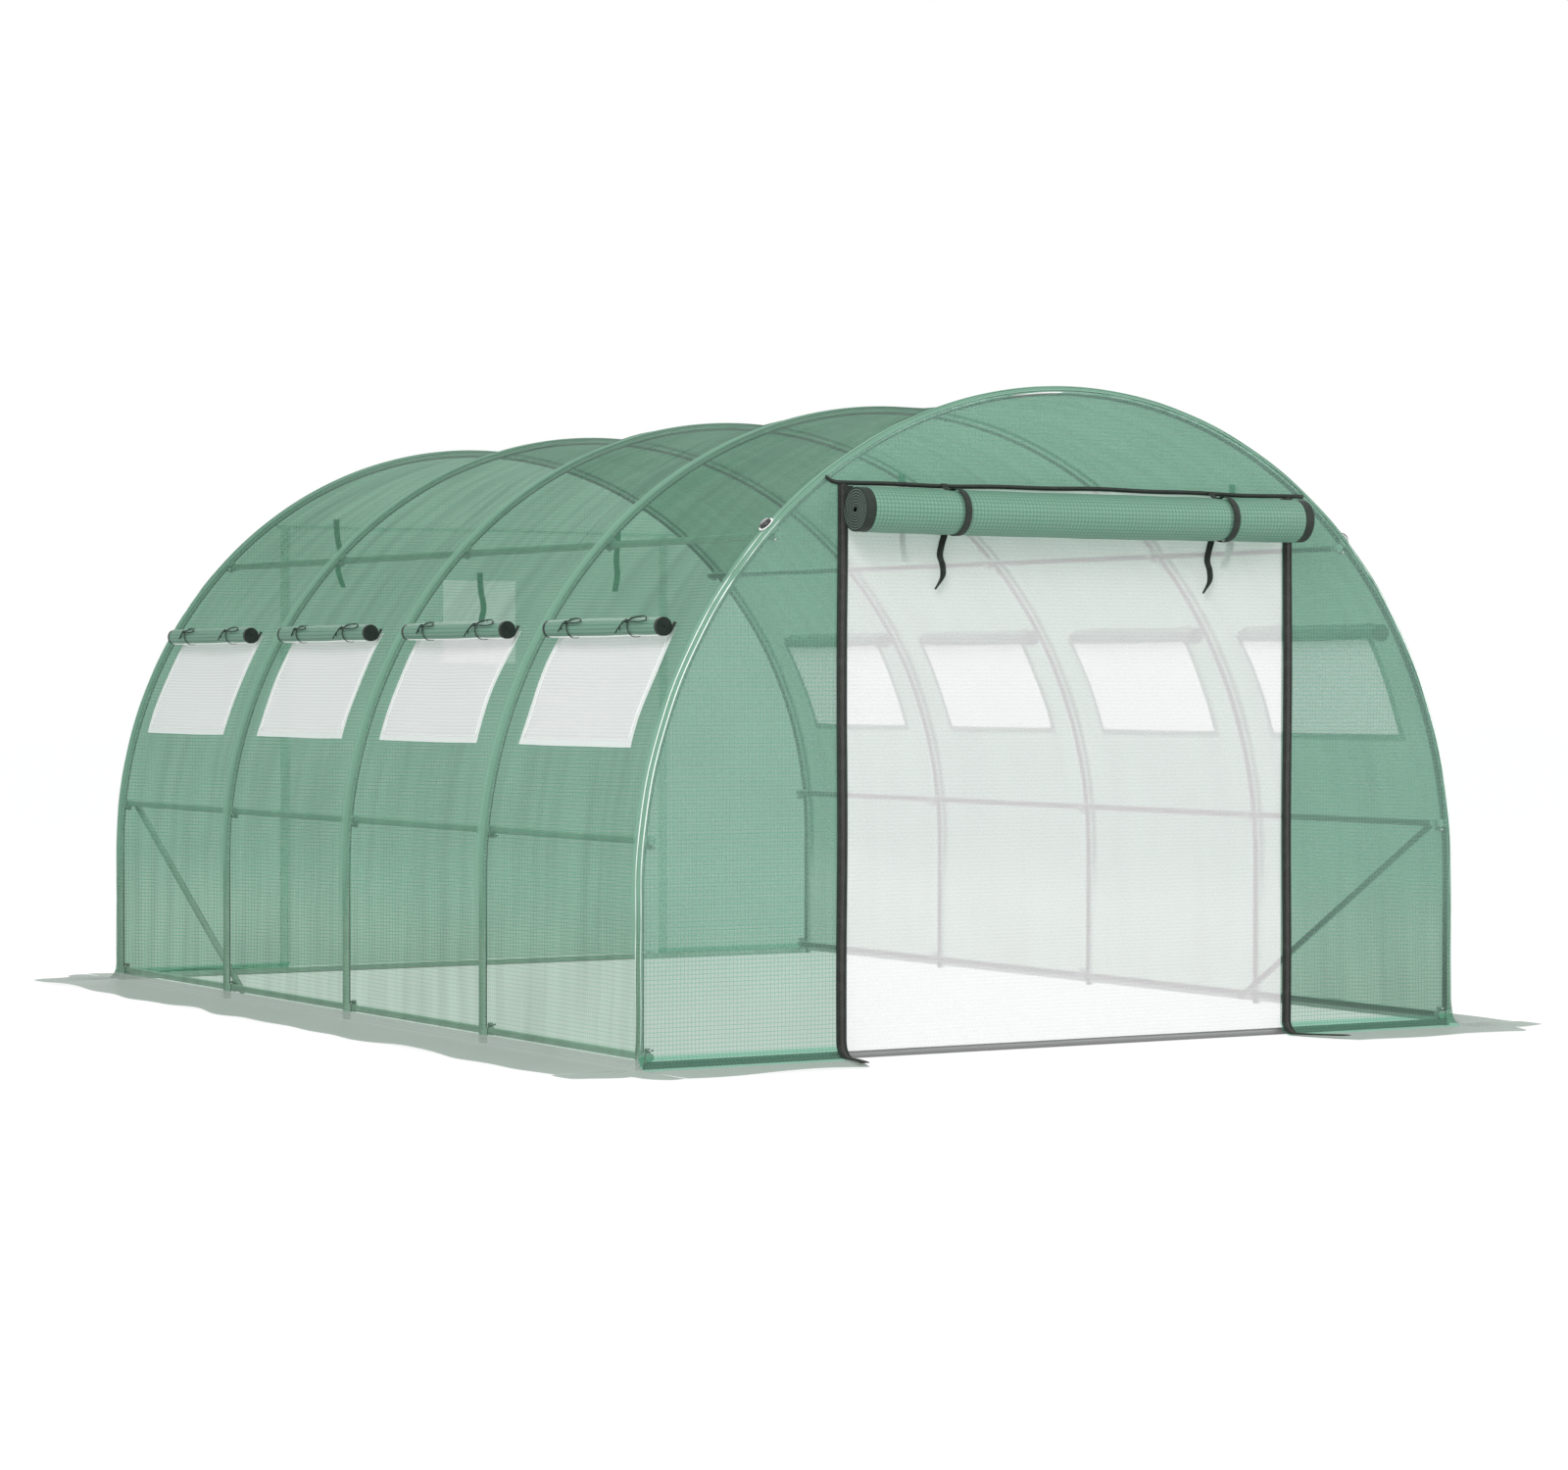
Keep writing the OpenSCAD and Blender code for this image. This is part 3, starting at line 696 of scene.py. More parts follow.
def skirt_waves(points, out, along):
    """Lifts a ground skirt in waves and returns how far its outer edge wanders; out is 0 at the wall
    and 1 at the edge."""
    lift = SKIRT_LIFT * out * (1 + np.sin(along * 11.0 + 0.7)) * (0.5 + 0.5 * np.sin(along * 4.3))
    points[..., 2] += lift
    return SKIRT_WANDER * out * (np.sin(along * 7.1) + 0.6 * np.sin(along * 17.0 + 1.0))


def tunnel_cover():
    """Sheet over all hoops from skirt edge to skirt edge, with holes for the side windows."""
    half_rows = spaced(0, 39, S_HEAD, 11, S_SILL, 15, S_ARC, 13, S_LEG, 7, S_FLARE, 5, S_END)
    s = np.concatenate([-half_rows[:0:-1], half_rows])
    half, hole = PITCH / 2, WINDOW_HALF
    bays = [spaced(b - half, 18, b - hole, 44, b + hole, 18, b + half)[:-1] for b in BAY_YS]
    columns = np.concatenate(bays)
    round_over = EDGE_START + EDGE_R * np.linspace(0, math.pi / 2, 7)
    y = np.concatenate([-round_over[::-1], columns[1:], [HOOP_YS[-1] - LAST_COLUMN], round_over])
    yy, ss = np.meshgrid(y, s)
    points = cover_points(yy, ss)
    out = np.clip((np.abs(ss) - S_FLARE) / (S_END - S_FLARE), 0, 1)
    points[..., 0] += np.sign(ss) * skirt_waves(points, out, yy)
    y_mid, s_mid = middles(y), np.abs(middles(s))
    in_window = np.any([np.abs(y_mid - b) < WINDOW_HALF for b in BAY_YS], axis=0)
    keep = ~(((s_mid > S_HEAD) & (s_mid < S_SILL))[:, None] & in_window[None])
    part = np.broadcast_to((s_mid > S_LEG + SKIRT_START)[:, None].astype(int), keep.shape)
    build = Build()
    build.grid(points, pack(yy, ss), keep, part)
    for sx in (-1, 1):
        for sy in (-1, 1):
            corner_skirt(build, sx, sy)
    piece = build.piece("tunnel_cover", COVER_FILM, SKIRT_FILM)
    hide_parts("left_lower_cover", "right_lower_cover", "left_window_band", "right_window_band",
                "roof_cover", "side_skirts")


# Outline of a gathered skirt corner: degrees round the corner and reach as a share of the skirt's
CORNER_REACH = [(0, 1.0), (24, 1.1), (40, 0.86), (57, 0.68), (72, 0.98), (80, 1.08), (90, 1.0)]
CORNER_START = 0.12
PLEAT_RATE = 14.0
PLEAT_H = 0.004


def corner_skirt(build, sx, sy):
    """Fan of skirt round a corner, gathered and notched where the two sides meet."""
    turn = np.linspace(0, 90, 25)
    reach = (S_END - S_FLARE) * np.interp(turn, *zip(*CORNER_REACH))
    flare = np.linspace(CORNER_START, math.pi / 2, 7)
    bend = FLARE_MID * (1 - np.cos(flare))
    drop = FLARE_R - FLARE_MID * np.sin(flare)
    flat = np.linspace(0, 1, 6)[1:]
    rho = np.concatenate([np.repeat(bend[:, None], len(turn), 1), FLARE_MID + flat[:, None] * reach[None]])
    z = np.concatenate([drop, np.full(len(flat), SHEET_T / 2)])[:, None] + np.zeros_like(rho)
    angle = np.radians(turn)[None]
    pleat = np.clip(np.sin(angle * PLEAT_RATE) * PLEAT_H, 0, 1)
    z = z + pleat * np.clip(rho / 0.1, 0, 1) * np.clip((0.3 - rho) / 0.2, 0, 1)
    across, along = rho * np.cos(angle), rho * np.sin(angle)
    points = pack(sx * (COVER_R + across), sy * (GABLE_Y + along), z)
    build.grid(points, pack(across, along), part=1)


# Gables: how far a sheet laps over the doorway's edge and its foot spreads there, and where the foot starts
DOOR_LAP = 0.002
FOOT_SPREAD = 0.09
FOOT_START = 0.004


def gable_outline(z):
    """Half width of a gable sheet at height z, where it meets the cover's rounded edge."""
    up = np.clip(np.asarray(z, float) - LEG_H, 0, GABLE_R - 1e-6)
    foot = EDGE_R * (1 - ease((np.asarray(z, float) - FLARE_R) / EDGE_OPENS))
    return np.sqrt(GABLE_R ** 2 - up ** 2) + foot


def gable_bulge(x, z, end):
    """Gentle slackness of a gable sheet, outward from the tunnel."""
    edge = ease((gable_outline(z) - np.abs(x)) / 0.08) * ease((z - FLARE_R) / 0.1)
    wave = (0.0035 * np.sin(3.1 * x + 1.3 * z + end) * np.sin(2.3 * z + 0.4)
            + 0.0022 * np.sin(9.0 * x - 5.0 * z + 2 * end) + 0.0014 * np.sin(17.0 * (np.abs(x) + 0.25 * z)))
    above, beside = ease((z - HEADER_Z - 0.015) / 0.06), ease((np.abs(x) - DOOR_HALF - ZIP_W) / 0.06)
    return edge * np.where(z > HEADER_Z, above, beside) * wave


def gable(name, end, panels):
    """Gable sheet round a doorway, with its foot turned out as a skirt; end is -1 at the front."""
    build = Build()
    flat = np.linspace(0, 1, 6)[1:]
    reach = SKIRT_Y - GABLE_Y - FLARE_MID
    flare = np.linspace(0, math.pi / 2, 8)[1:]
    heights = spaced(HEADER_Z, 33, LEG_H, 15, FLARE_R)
    z = np.concatenate([heights, FLARE_R - FLARE_MID * np.sin(flare), np.full(len(flat), SHEET_T / 2)])
    out = np.concatenate([np.zeros(len(heights)), FLARE_MID * (1 - np.cos(flare)), FLARE_MID + flat * reach])
    run = np.concatenate([HEADER_Z - heights, HEADER_Z - FLARE_R + FLARE_MID * flare,
                          HEADER_Z - FLARE_R + FLARE_MID * math.pi / 2 + flat * reach])
    beyond = np.concatenate([np.zeros(len(heights) + len(flare)), flat])
    outer = gable_outline(np.maximum(z, FLARE_R))
    inner = DOOR_HALF - DOOR_LAP + FOOT_SPREAD * beyond ** 1.3
    share = np.linspace(0, 1, 27)
    for side in (-1, 1):
        x = side * (inner[:, None] + (outer - inner)[:, None] * share[None])
        zz = np.repeat(z[:, None], len(share), 1)
        y = end * (GABLE_Y + out[:, None] + gable_bulge(x, zz, end))
        points = pack(x, y, zz)
        points[..., 1] += end * skirt_waves(points, beyond[:, None] + 0 * x, x)
        band = np.where(out[1:] > FLARE_MID, 1, np.where(out[1:] > FOOT_START, 2, 0))
        part = np.repeat(band[:, None], len(share) - 1, 1)
        build.grid(points, pack(x, np.repeat(-run[:, None], len(share), 1)), part=part)
    rise = np.linspace(math.asin((HEADER_Z - LEG_H) / GABLE_R), math.pi / 2 - 0.004, 26)
    across = np.linspace(-1, 1, 61)
    zz = np.repeat((LEG_H + GABLE_R * np.sin(rise))[:, None], len(across), 1)
    x = GABLE_R * np.cos(rise)[:, None] * across[None]
    points = pack(x, end * (GABLE_Y + gable_bulge(x, zz, end)), zz)
    build.grid(points, pack(x, zz - HEADER_Z))
    piece = build.piece(name, GABLE_FILM if end < 0 else REAR_FILM, SKIRT_FILM, FOOT_FILM)
    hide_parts(*panels)


def seam_beads():
    """Welded double seam that runs over both gable hoops, where cover and gable sheets meet."""
    build = Build()
    s = np.linspace(-S_LEG, S_LEG, 181)
    x, z, nx, nz = section(s)
    off = EDGE_R + SEAM_LIFT
    for end in (-1, 1):
        for phi in SEAM_ANGLES:
            inward = -EDGE_R + off * math.cos(phi)
            wander = 0.0012 * np.sin(23.0 * s + phi * 5)
            y = end * (EDGE_START + off * math.sin(phi) + wander)
            build.tube(pack(x + nx * inward, y, z + nz * inward), SEAM_R, 8)
    piece = build.piece("gable_seam_beads", SEAM_BEAD_PAINTED_HIGHLIGHT)


def rear_door():
    """Closed door sheet in the rear doorway, with a hole for its window."""
    lo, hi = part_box("rear_door")
    window_lo, window_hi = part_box("rear_window_screen")
    xs = spaced(lo.x, 24, window_lo.x, 10, window_hi.x, 24, hi.x)
    zs = spaced(hi.z, 6, window_hi.z, 10, window_lo.z, 39, lo.z)
    x, z = np.meshgrid(xs, zs)
    edge = ease((hi.x - np.abs(x)) / 0.06) * ease((hi.z - z) / 0.06)
    sway = 0.006 * np.sin(6.0 * x + 0.4 * z) + 0.004 * np.sin(15.0 * x - 0.8 * z + 1.0)
    y = GABLE_Y + edge * sway * np.interp(z, [0, hi.z], [1.4, 0.4])
    x_mid, z_mid = middles(xs), middles(zs)
    hole = (np.abs(x_mid) < window_hi.x)[None] & ((z_mid > window_lo.z) & (z_mid < window_hi.z))[:, None]
    build = Build()
    build.grid(pack(x, y, z), pack(x, z - hi.z), ~hole)
    piece = build.piece("rear_door_sheet", REAR_FILM)
    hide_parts("rear_door")


# Screens
def flat_screen(name, node, slack, material):
    """Insect mesh in an opening of a gable, hung between its edges."""
    lo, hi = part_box(node)
    foot = max(lo.z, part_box("front_sill")[1].z)
    x, z = np.meshgrid(np.linspace(lo.x, hi.x, 41), np.linspace(hi.z, foot, 41))
    across, up = (x - lo.x) / (hi.x - lo.x), (z - foot) / (hi.z - foot)
    belly = np.sin(math.pi * across) * (1 - up ** 3)
    ripple = 0.3 * np.sin(9 * x + 2.0 * z) * np.sin(math.pi * across)
    y = (lo.y + hi.y) / 2 + slack * (belly + ripple)
    build = Build()
    build.grid(pack(x, y, z), pack(x, z))
    piece = build.piece(name, material)
    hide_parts(node)


def window_screens():
    """Insect mesh in each side window."""
    for side, word in SIDES:
        for number, middle in enumerate(BAY_YS):
            y = np.linspace(middle - WINDOW_HALF, middle + WINDOW_HALF, 33)
            yy, ss = np.meshgrid(y, side * np.linspace(S_HEAD, S_SILL, 17))
            build = Build()
            build.grid(cover_points(yy, ss, SCREEN_LIFT), pack(yy, ss))
            piece = build.piece(f"{word}_window_screen_{number + 1}", WINDOW_MESH)
            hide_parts(f"{word}_window_screens")


def window_trims():
    """Welded tape round each window, with a hem bead along its inner edge."""
    t = np.linspace(0, 1, 25)
    s = spaced(S_HEAD - TRIM_W, 3, S_HEAD, 16, S_SILL, 3, S_SILL + TRIM_W)
    s_mid = middles(s)
    for side, word in SIDES:
        build = Build()
        for middle in BAY_YS:
            start, end = middle - WINDOW_HALF, middle + WINDOW_HALF
            y = spaced(start - TRIM_W, 3, start, 32, end, 3, end + TRIM_W)
            yy, ss = np.meshgrid(y, side * s)
            y_mid = middles(y)
            hole = ((s_mid > S_HEAD) & (s_mid < S_SILL))[:, None] & ((y_mid > start) & (y_mid < end))[None]
            build.grid(cover_points(yy, ss, TRIM_LIFT), pack(yy, ss), ~hole)
            corners = [(start, S_HEAD), (start, S_SILL), (end, S_SILL), (end, S_HEAD)]
            for (y0, s0), (y1, s1) in zip(corners, corners[1:] + corners[:1]):
                bead = cover_points(y0 + (y1 - y0) * t, side * (s0 + (s1 - s0) * t), HEM_LIFT)
                build.tube(bead, HEM_R, 6)
        piece = build.piece(f"{word}_window_tape", WINDOW_TAPE)
        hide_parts(f"{word}_window_trims")


# Rolled sheets
TURN_STEPS = 40
END_STEPS = 4


def spiral(r, pitch, turns, up):
    """Section of a rolled-up sheet: its free end drawn straight up, then turns winding inward.
    Points are (towards the wall, up) with the outward direction at each."""
    points = [(r, height) for height in np.linspace(up, 0, END_STEPS + 1)[:-1]]
    normals = [(1.0, 0.0)] * END_STEPS
    for i in range(turns * TURN_STEPS + 1):
        angle = -2 * math.pi * i / TURN_STEPS
        radius = r - pitch * i / TURN_STEPS
        points.append((radius * math.cos(angle), radius * math.sin(angle)))
        normals.append((math.cos(angle), math.sin(angle)))
    return np.array(points), np.array(normals)


def rolled(build, place, length, r, thickness, pitch, turns, up, dark, rim, squeeze, lumps, back=0):
    """Rolled sheet along its own X axis, squeezed at its straps, with dark hems at both ends; rim is the
    share of a turn that its hem fills at the end, before the paler edge of the next turn. back numbers
    the material on the side towards the wall, which on the window flaps is a pale painted light. place
    turns local points (along, towards the wall, up) into the tunnel's frame. Returns the length of the
    spiral."""
    centre, normal = spiral(r, pitch, turns, up)
    count, half, run = len(centre), length / 2, lengths(centre)
    along = spaced(-half, 3, dark - half, 48, half - dark, 3, half)
    pinch = sum(np.exp(-((along - x) / 0.03) ** 2) for x in squeeze)
    swell = 1 + lumps * (np.sin(11 * along + 0.5) + 0.7 * np.sin(27 * along + 2.0)) - 0.055 * pinch
    lump = 1 + 0.6 * lumps * np.sin(3 * np.arange(count) / TURN_STEPS * 2 * math.pi + 1.0)

    def lay(x, points):
        return place(np.concatenate([np.broadcast_to(x, (*points.shape[:2], 1)), points], -1))

    spread = swell[None, :, None] * lump[:, None, None]
    outside, inside = [(centre - normal * depth)[:, None] * spread for depth in (0.0, thickness)]
    uvs = np.stack(np.meshgrid(along, run), -1)
    hem = (np.abs(middles(along)) > half - dark)[None] & np.ones((count - 1, 1), bool)
    # Faces of the first turn towards the wall take the back material; on the window flaps that is painted
    # light.
    behind = ((normal[:-1, 0] > 0.1) & (np.arange(count - 1) < TURN_STEPS))[:, None]
    build.grid(lay(along[None, :, None], outside), uvs, part=np.where(hem, 1, np.where(behind, back, 0)))
    build.grid(lay(along[None, :, None], inside)[:, ::-1], uvs[:, ::-1], part=np.where(hem, 1, 0)[:, ::-1])
    wound = (np.arange(count) >= END_STEPS)[:, None]
    for column in (0, -1):
        for near, far, number in ((0.0, rim * pitch, 1), (rim * pitch, pitch, 2)):
            depths = [np.where(wound, depth, min(depth, thickness)) for depth in (near, far)]
            ring = [(centre - normal * depth) * lump[:, None] * swell[column] for depth in depths]
            points = lay(along[column], np.stack(ring, 1))
            build.grid(points if column else points[:, ::-1], np.stack(np.meshgrid([near, far], run), -1),
                       part=number)
    for row in (0, -1):
        points = lay(along[None, :, None], np.stack([outside[row], inside[row]], 0))
        build.grid(points, np.stack(np.meshgrid(along, [0, thickness]), -1))
    return run[-1]


ROLL_SAG = 0.004


def door_roll():
    """Front door, rolled up under its header."""
    build = Build()
    length = ROLL_HI.x - ROLL_LO.x

    def place(local):
        sag = ROLL_SAG * (1 - (local[..., 0] / (length / 2)) ** 2)
        return pack(local[..., 0], ROLL_Y + local[..., 1], ROLL_Z + local[..., 2] - sag)

    run = rolled(build, place, length, r=ROLL_R + 0.002, thickness=0.0035, pitch=ROLL_PITCH, turns=7,
                 up=ROLL_HI.z - ROLL_Z, dark=0.033, rim=0.8, squeeze=STRAP_XS, lumps=0.008)
    piece = build.piece("door_roll_sheet", ROLLED_FILM, DARK_HEM, HEM_RING)
    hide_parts("door_roll")


# Upper end of a roll strap, out from the gable and up from the roll's top, and its loose end: share of
# its drop, sway to the right and swing outward
STRAP_HEAD = [(0.009, 0.014), (0.014, 0.004)]
STRAP_TAIL = [(0, 0, 0), (0.2, 0, 0.004), (0.36, -0.012, 0.008), (0.52, -0.016, 0.004), (0.66, -0.005, 0.002),
              (0.82, -0.008, 0.006), (1, -0.036, 0.010)]
TAIL_TOP = 0.02
TAIL_OUT = 0.008


def door_straps():
    """Straps from the header over the rolled door, with their loose ends hanging behind it."""
    build = Build()
    r = ROLL_R + STRAP_GAP
    turn = np.radians(np.linspace(62, 360, 60))
    top = ROLL_Z - TAIL_TOP
    drop = top - STRAP_LO.z
    for x in STRAP_XS:
        band = [(x, -GABLE_Y - out, ROLL_HI.z + up) for out, up in STRAP_HEAD]
        band += [(x, ROLL_Y + r * math.cos(t), ROLL_Z - 0.003 + r * math.sin(t)) for t in turn]
        build.ribbon(band, (1, 0, 0), STRAP_W, STRAP_T)
        knots = [(x + sway, -GABLE_Y - TAIL_OUT - swing, top - drop * share)
                 for share, sway, swing in STRAP_TAIL]
        path = smooth(knots, 40)
        twist = np.linspace(0.6, 1.0, len(path))
        across = pack(np.cos(twist), -np.sin(twist), 0 * twist)
        taper = np.interp(np.linspace(0, 1, len(path)), [0, 0.8, 1], [0.9, 0.75, 0.3])
        build.ribbon(path, across, STRAP_W * taper, STRAP_T)
    piece = build.piece("door_roll_straps", DARK_TAPE)
    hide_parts("door_straps")


def flap_frame(side, middle):
    """Turns local points (along the tunnel, towards the wall, up the sheet) at a window's rolled flap."""
    out = np.array([side * math.cos(HEAD_ANGLE), 0, math.sin(HEAD_ANGLE)])
    up = np.array([-side * math.sin(HEAD_ANGLE), 0, math.cos(HEAD_ANGLE)])
    centre = np.array([0, middle, LEG_H]) + out * FLAP_CENTRE

    def place(local):
        local = np.asarray(local, float)
        return centre + local[..., :1] * np.array([0, 1.0, 0]) - local[..., 1:2] * out + local[..., 2:3] * up

    return place


def window_rolls():
    """Flap of each side window, rolled up above it and a little shifted along the tunnel."""
    length = 2 * (WINDOW_HALF + FLAP_OVER)
    for side, word in SIDES:
        for number, middle in enumerate(BAY_YS):
            build = Build()
            place = flap_frame(side, middle + 0.004 * math.sin(5.0 * middle))
            run = rolled(build, place, length, r=FLAP_R, thickness=0.0036, pitch=0.0052, turns=5, up=FLAP_R,
                         dark=0.014, rim=1.0, squeeze=(-TIE_X, TIE_X), lumps=0.02, back=3)
            name = f"{word}_window_roll_{number + 1}"
            piece = build.piece(name, ROLLED_FILM, DARK_HEM, HEM_RING, FLAP_BACK_PAINTED_LIGHT)
            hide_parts(f"{word}_window_rolls")


# Bow of a window tie: loop, loose end and knot as (along, out from the roll, up), laid on the roll's front
BOW_LOOP = [(0, 0.002, 0.000), (-0.030, 0.005, 0.007), (-0.066, 0.003, 0.013), (-0.088, 0.002, 0.009),
            (-0.090, 0.002, 0.001), (-0.066, 0.004, -0.005), (-0.030, 0.006, -0.004), (0.000, 0.006, -0.002),
            (0.022, 0.003, -0.010), (0.038, -0.002, -0.020), (0.046, -0.006, -0.031)]
BOW_TAIL = [(0.002, 0.004, 0.003), (0.012, 0.006, -0.002), (0.024, 0.003, -0.012), (0.026, -0.003, -0.025)]
BOW_KNOT = [(-0.006, 0.004, 0.003), (0, 0.008, -0.003), (0.006, 0.004, -0.005)]
KNOT_RADII = [0.002, 0.004, 0.005, 0.0055, 0.0055, 0.005, 0.004, 0.002]


def window_ties():
    """Thin tapes round the rolled flaps, each knotted in front with a bow."""
    turn = np.radians(np.linspace(0, 360, 41))
    r = FLAP_R + TIE_GAP
    for side, word in SIDES:
        build = Build()
        for middle in BAY_YS:
            place = flap_frame(side, middle)
            for spot in (-TIE_X, TIE_X):
                ring = pack(spot + 0 * turn, r * np.cos(turn), r * np.sin(turn))
                build.ribbon(place(ring), (0, 1, 0), TIE_W, TIE_T)
                sway = 1 + 0.25 * math.sin(7 * (middle + spot))
                for knots in (BOW_LOOP, BOW_TAIL):
                    local = [(spot + a * sway, -(FLAP_R + 0.001 + b), c * sway) for a, b, c in knots]
                    build.tube(smooth(place(local), 5 * len(knots)), BOW_R, 6)
                knot = place([(spot + a, -FLAP_R - b, c) for a, b, c in BOW_KNOT])
                build.tube(smooth(knot, len(KNOT_RADII)), KNOT_RADII, 8)
        piece = build.piece(f"{word}_window_bows", TIE_CORD)
        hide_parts(f"{word}_window_ties")


# Doorway bindings
def zip_path(side, end, lift):
    """Middle line of a zip strip: down the gable, round the flare and out over the skirt."""
    x0 = DOOR_HALF + ZIP_W / 2
    z = np.linspace(HEADER_Z - 0.006, FLARE_R, 60)
    flare = np.linspace(0, math.pi / 2, 10)[1:]
    flat = np.linspace(0, 1, 8)[1:]
    reach = ZIP_FOOT_Y - GABLE_Y - FLARE_MID
    bend = FLARE_MID - lift
    x = np.concatenate([x0 + 0.0015 * np.sin(7 * z), np.full(len(flare), x0), x0 + 0.06 * flat ** 1.4])
    out = np.concatenate([np.full(len(z), lift), FLARE_MID - bend * np.cos(flare), FLARE_MID + flat * reach])
    height = np.concatenate([z, FLARE_R - bend * np.sin(flare), SHEET_T / 2 + lift + 0.006 * flat])
    return pack(side * x, end * (GABLE_Y + out), height)


def zip_teeth(teeth, ridge, end):
    """Teeth of a zip, set left and right in turn along its ridge."""
    run = lengths(ridge)

    def point(place):
        return np.array([np.interp(place, run, ridge[:, i]) for i in range(3)])

    for number, place in enumerate(np.arange(0.02, run[-1] - 0.02, TOOTH_PITCH)):
        spot = point(place)
        ahead = point(place + 0.003)
        step = (ahead - spot) / np.linalg.norm(ahead - spot)
        face = np.cross((1.0, 0, 0), step) * -end
        face = face if face[1] * end > 0 or face[2] > 0.5 else -face
        shift = TOOTH_SHIFT if number % 2 else -TOOTH_SHIFT
        middle = spot + face * TOOTH_LIFT + np.array([shift, 0, 0])
        teeth.tube([middle - step * TOOTH_HALF, middle + step * TOOTH_HALF], TOOTH_R, 6)


def door_bindings(name, end, node, tape, zipped):
    """Strips down both sides of a doorway and its header; a zipped doorway has zips in the strips."""
    build, teeth = Build(), Build()
    for side in (-1, 1):
        build.ribbon(zip_path(side, end, ZIP_LIFT), (1, 0, 0), ZIP_W, ZIP_T)
        if zipped:
            ridge = zip_path(side, end, ZIP_FLAP_LIFT)
            build.ribbon(ridge, (1, 0, 0), ZIP_FLAP_W, ZIP_FLAP_T, 1)
            for offset in (-ZIP_SEAM_X, ZIP_SEAM_X):
                build.tube(zip_path(side, end, ZIP_SEAM_LIFT) + np.array([offset, 0, 0]), ZIP_SEAM_R, 6)
            zip_teeth(teeth, ridge, end)
    x = np.linspace(-HEADER_HALF + HEADER_INSET, HEADER_HALF - HEADER_INSET, 90)
    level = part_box(node)[1].z - HEADER_DROP + 0.0022 * np.sin(5.0 * x + 1.0) + 0.0012 * np.sin(17 * x)
    curl = 0.016 * ease((-x - HEADER_HALF + 0.055) / 0.05) ** 2
    stand = GABLE_Y + ZIP_LIFT + 0.004 * ease((-x - HEADER_HALF + 0.06) / 0.05)
    if zipped:
        build.tube(pack(x, end * stand, level + curl), HEADER_R, 10)
    build.ribbon(pack(x, end * (stand - 0.001), level + curl), (0, 0, 1), HEADER_W, 0.002)
    piece = build.piece(name, tape, ZIP_FLAP)
    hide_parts(node)
    if zipped:
        teeth.piece("door_zip_teeth", ZIP_COIL)


# Inner ties: height sewn on, drop below it, width, thickness and distance inside the gable, and
# (share of the drop, sway) on the way down
TIE_SEWN, TIE_DROP = 0.03, 0.23
TAPE_W, TAPE_T, TAPE_IN = 0.024, 0.0018, 0.0045
TAPE_HANG = [(-TIE_SEWN / TIE_DROP, 0), (0, 0), (0.2, 0.003), (0.45, 0.010), (0.7, 0.004), (0.88, 0.012),
             (1, 0.020)]


def inner_ties():
    """Pale tapes that hang inside the gables, sewn on above the doorways."""
    build = Build()
    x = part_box("inner_ties")[1].x - TAPE_W / 2
    spots = [(end, side * x, HEADER_Z) for end in (-1, 1) for side in (-1, 1)]
    for end, across, top in [*spots, (1, 0.0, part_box("rear_window_screen")[1].z)]:
        face = end * (GABLE_Y - TAPE_IN)
        knots = [(across + w * 1.1 * (1 if across <= 0 else -1), face - end * w * 0.8, top - TIE_DROP * f)
                 for f, w in TAPE_HANG]
        path = smooth(knots, 36)
        twist = np.linspace(0, 0.25, len(path)) * (1 if across < 0 else -1)
        build.ribbon(path, pack(np.cos(twist), np.sin(twist), 0 * twist), TAPE_W, TAPE_T)
    piece = build.piece("inner_tie_tapes", PALE_TAPE)
    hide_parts("inner_ties")


# Small hardware
def rail_angle(node):
    """Angle up the arc at which a rail runs."""
    lo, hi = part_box(node)
    return math.atan2((lo.z + hi.z) / 2 - LEG_H, (lo.x + hi.x) / 2)


def rail_caps():
    """Black domes in white rings, over the front ends of the upper rails."""
    domes, rings = Build(), Build()
    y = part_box("rail_end_caps")[1].y - CAP_RING_R
    angle = rail_angle("right_upper_rail")
    dome = [(CAP_R - CAP_ROUND * (1 - math.cos(t)), 0.002 + (CAP_H - 0.002) * math.sin(t))
            for t in np.linspace(0, math.pi / 2, 9)]
    lip = [(CAP_RING_R + CAP_LIP * math.cos(t), CAP_LIP + CAP_LIP * math.sin(t))
           for t in np.linspace(-1.5, 1.5, 7)]
    for side in (-1, 1):
        axis = (side * math.cos(angle), 0, math.sin(angle))
        seat = Vector((0, y, LEG_H)) + Vector(axis) * (COVER_OUT + 0.0003)
        domes.revolve([(CAP_R, 0.0006), *dome, (0.0004, CAP_H)], seat, axis, (0, 1, 0))
        rings.revolve([(CAP_R - 0.001, 0.0002), *lip, (CAP_R - 0.001, 0.0022)], seat, axis, (0, 1, 0))
    piece = domes.piece("rail_cap_domes", CAP_BLACK)
    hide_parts("rail_end_caps")
    rings.piece("rail_cap_rings", CAP_WHITE)


# Washer, head and nut of a clamp bolt, as (radius, height) profiles, where they start out from the ear's
# middle, on which side of it, and their number of sides; and a wing of the nut as (out, along, up)
BOLT_PARTS = [([(0.0062, 0), (0.0062, 0.0012)], 0.0061, 1, 16),
              ([(0.0054, 0), (0.0054, 0.0042), (0.0046, 0.005)], 0.0073, 1, 6),
              ([(0.0055, 0), (0.0045, 0.006), (0.003, 0.009)], 0.0061, -1, 12)]
WING = [(0, 0.010, 0), (0.007, 0.0105, 0), (0.013, 0.0105, 0.001)]
WING_RADII = [0.002, 0.0022, 0.0025, 0.0028, 0.003, 0.003, 0.002]


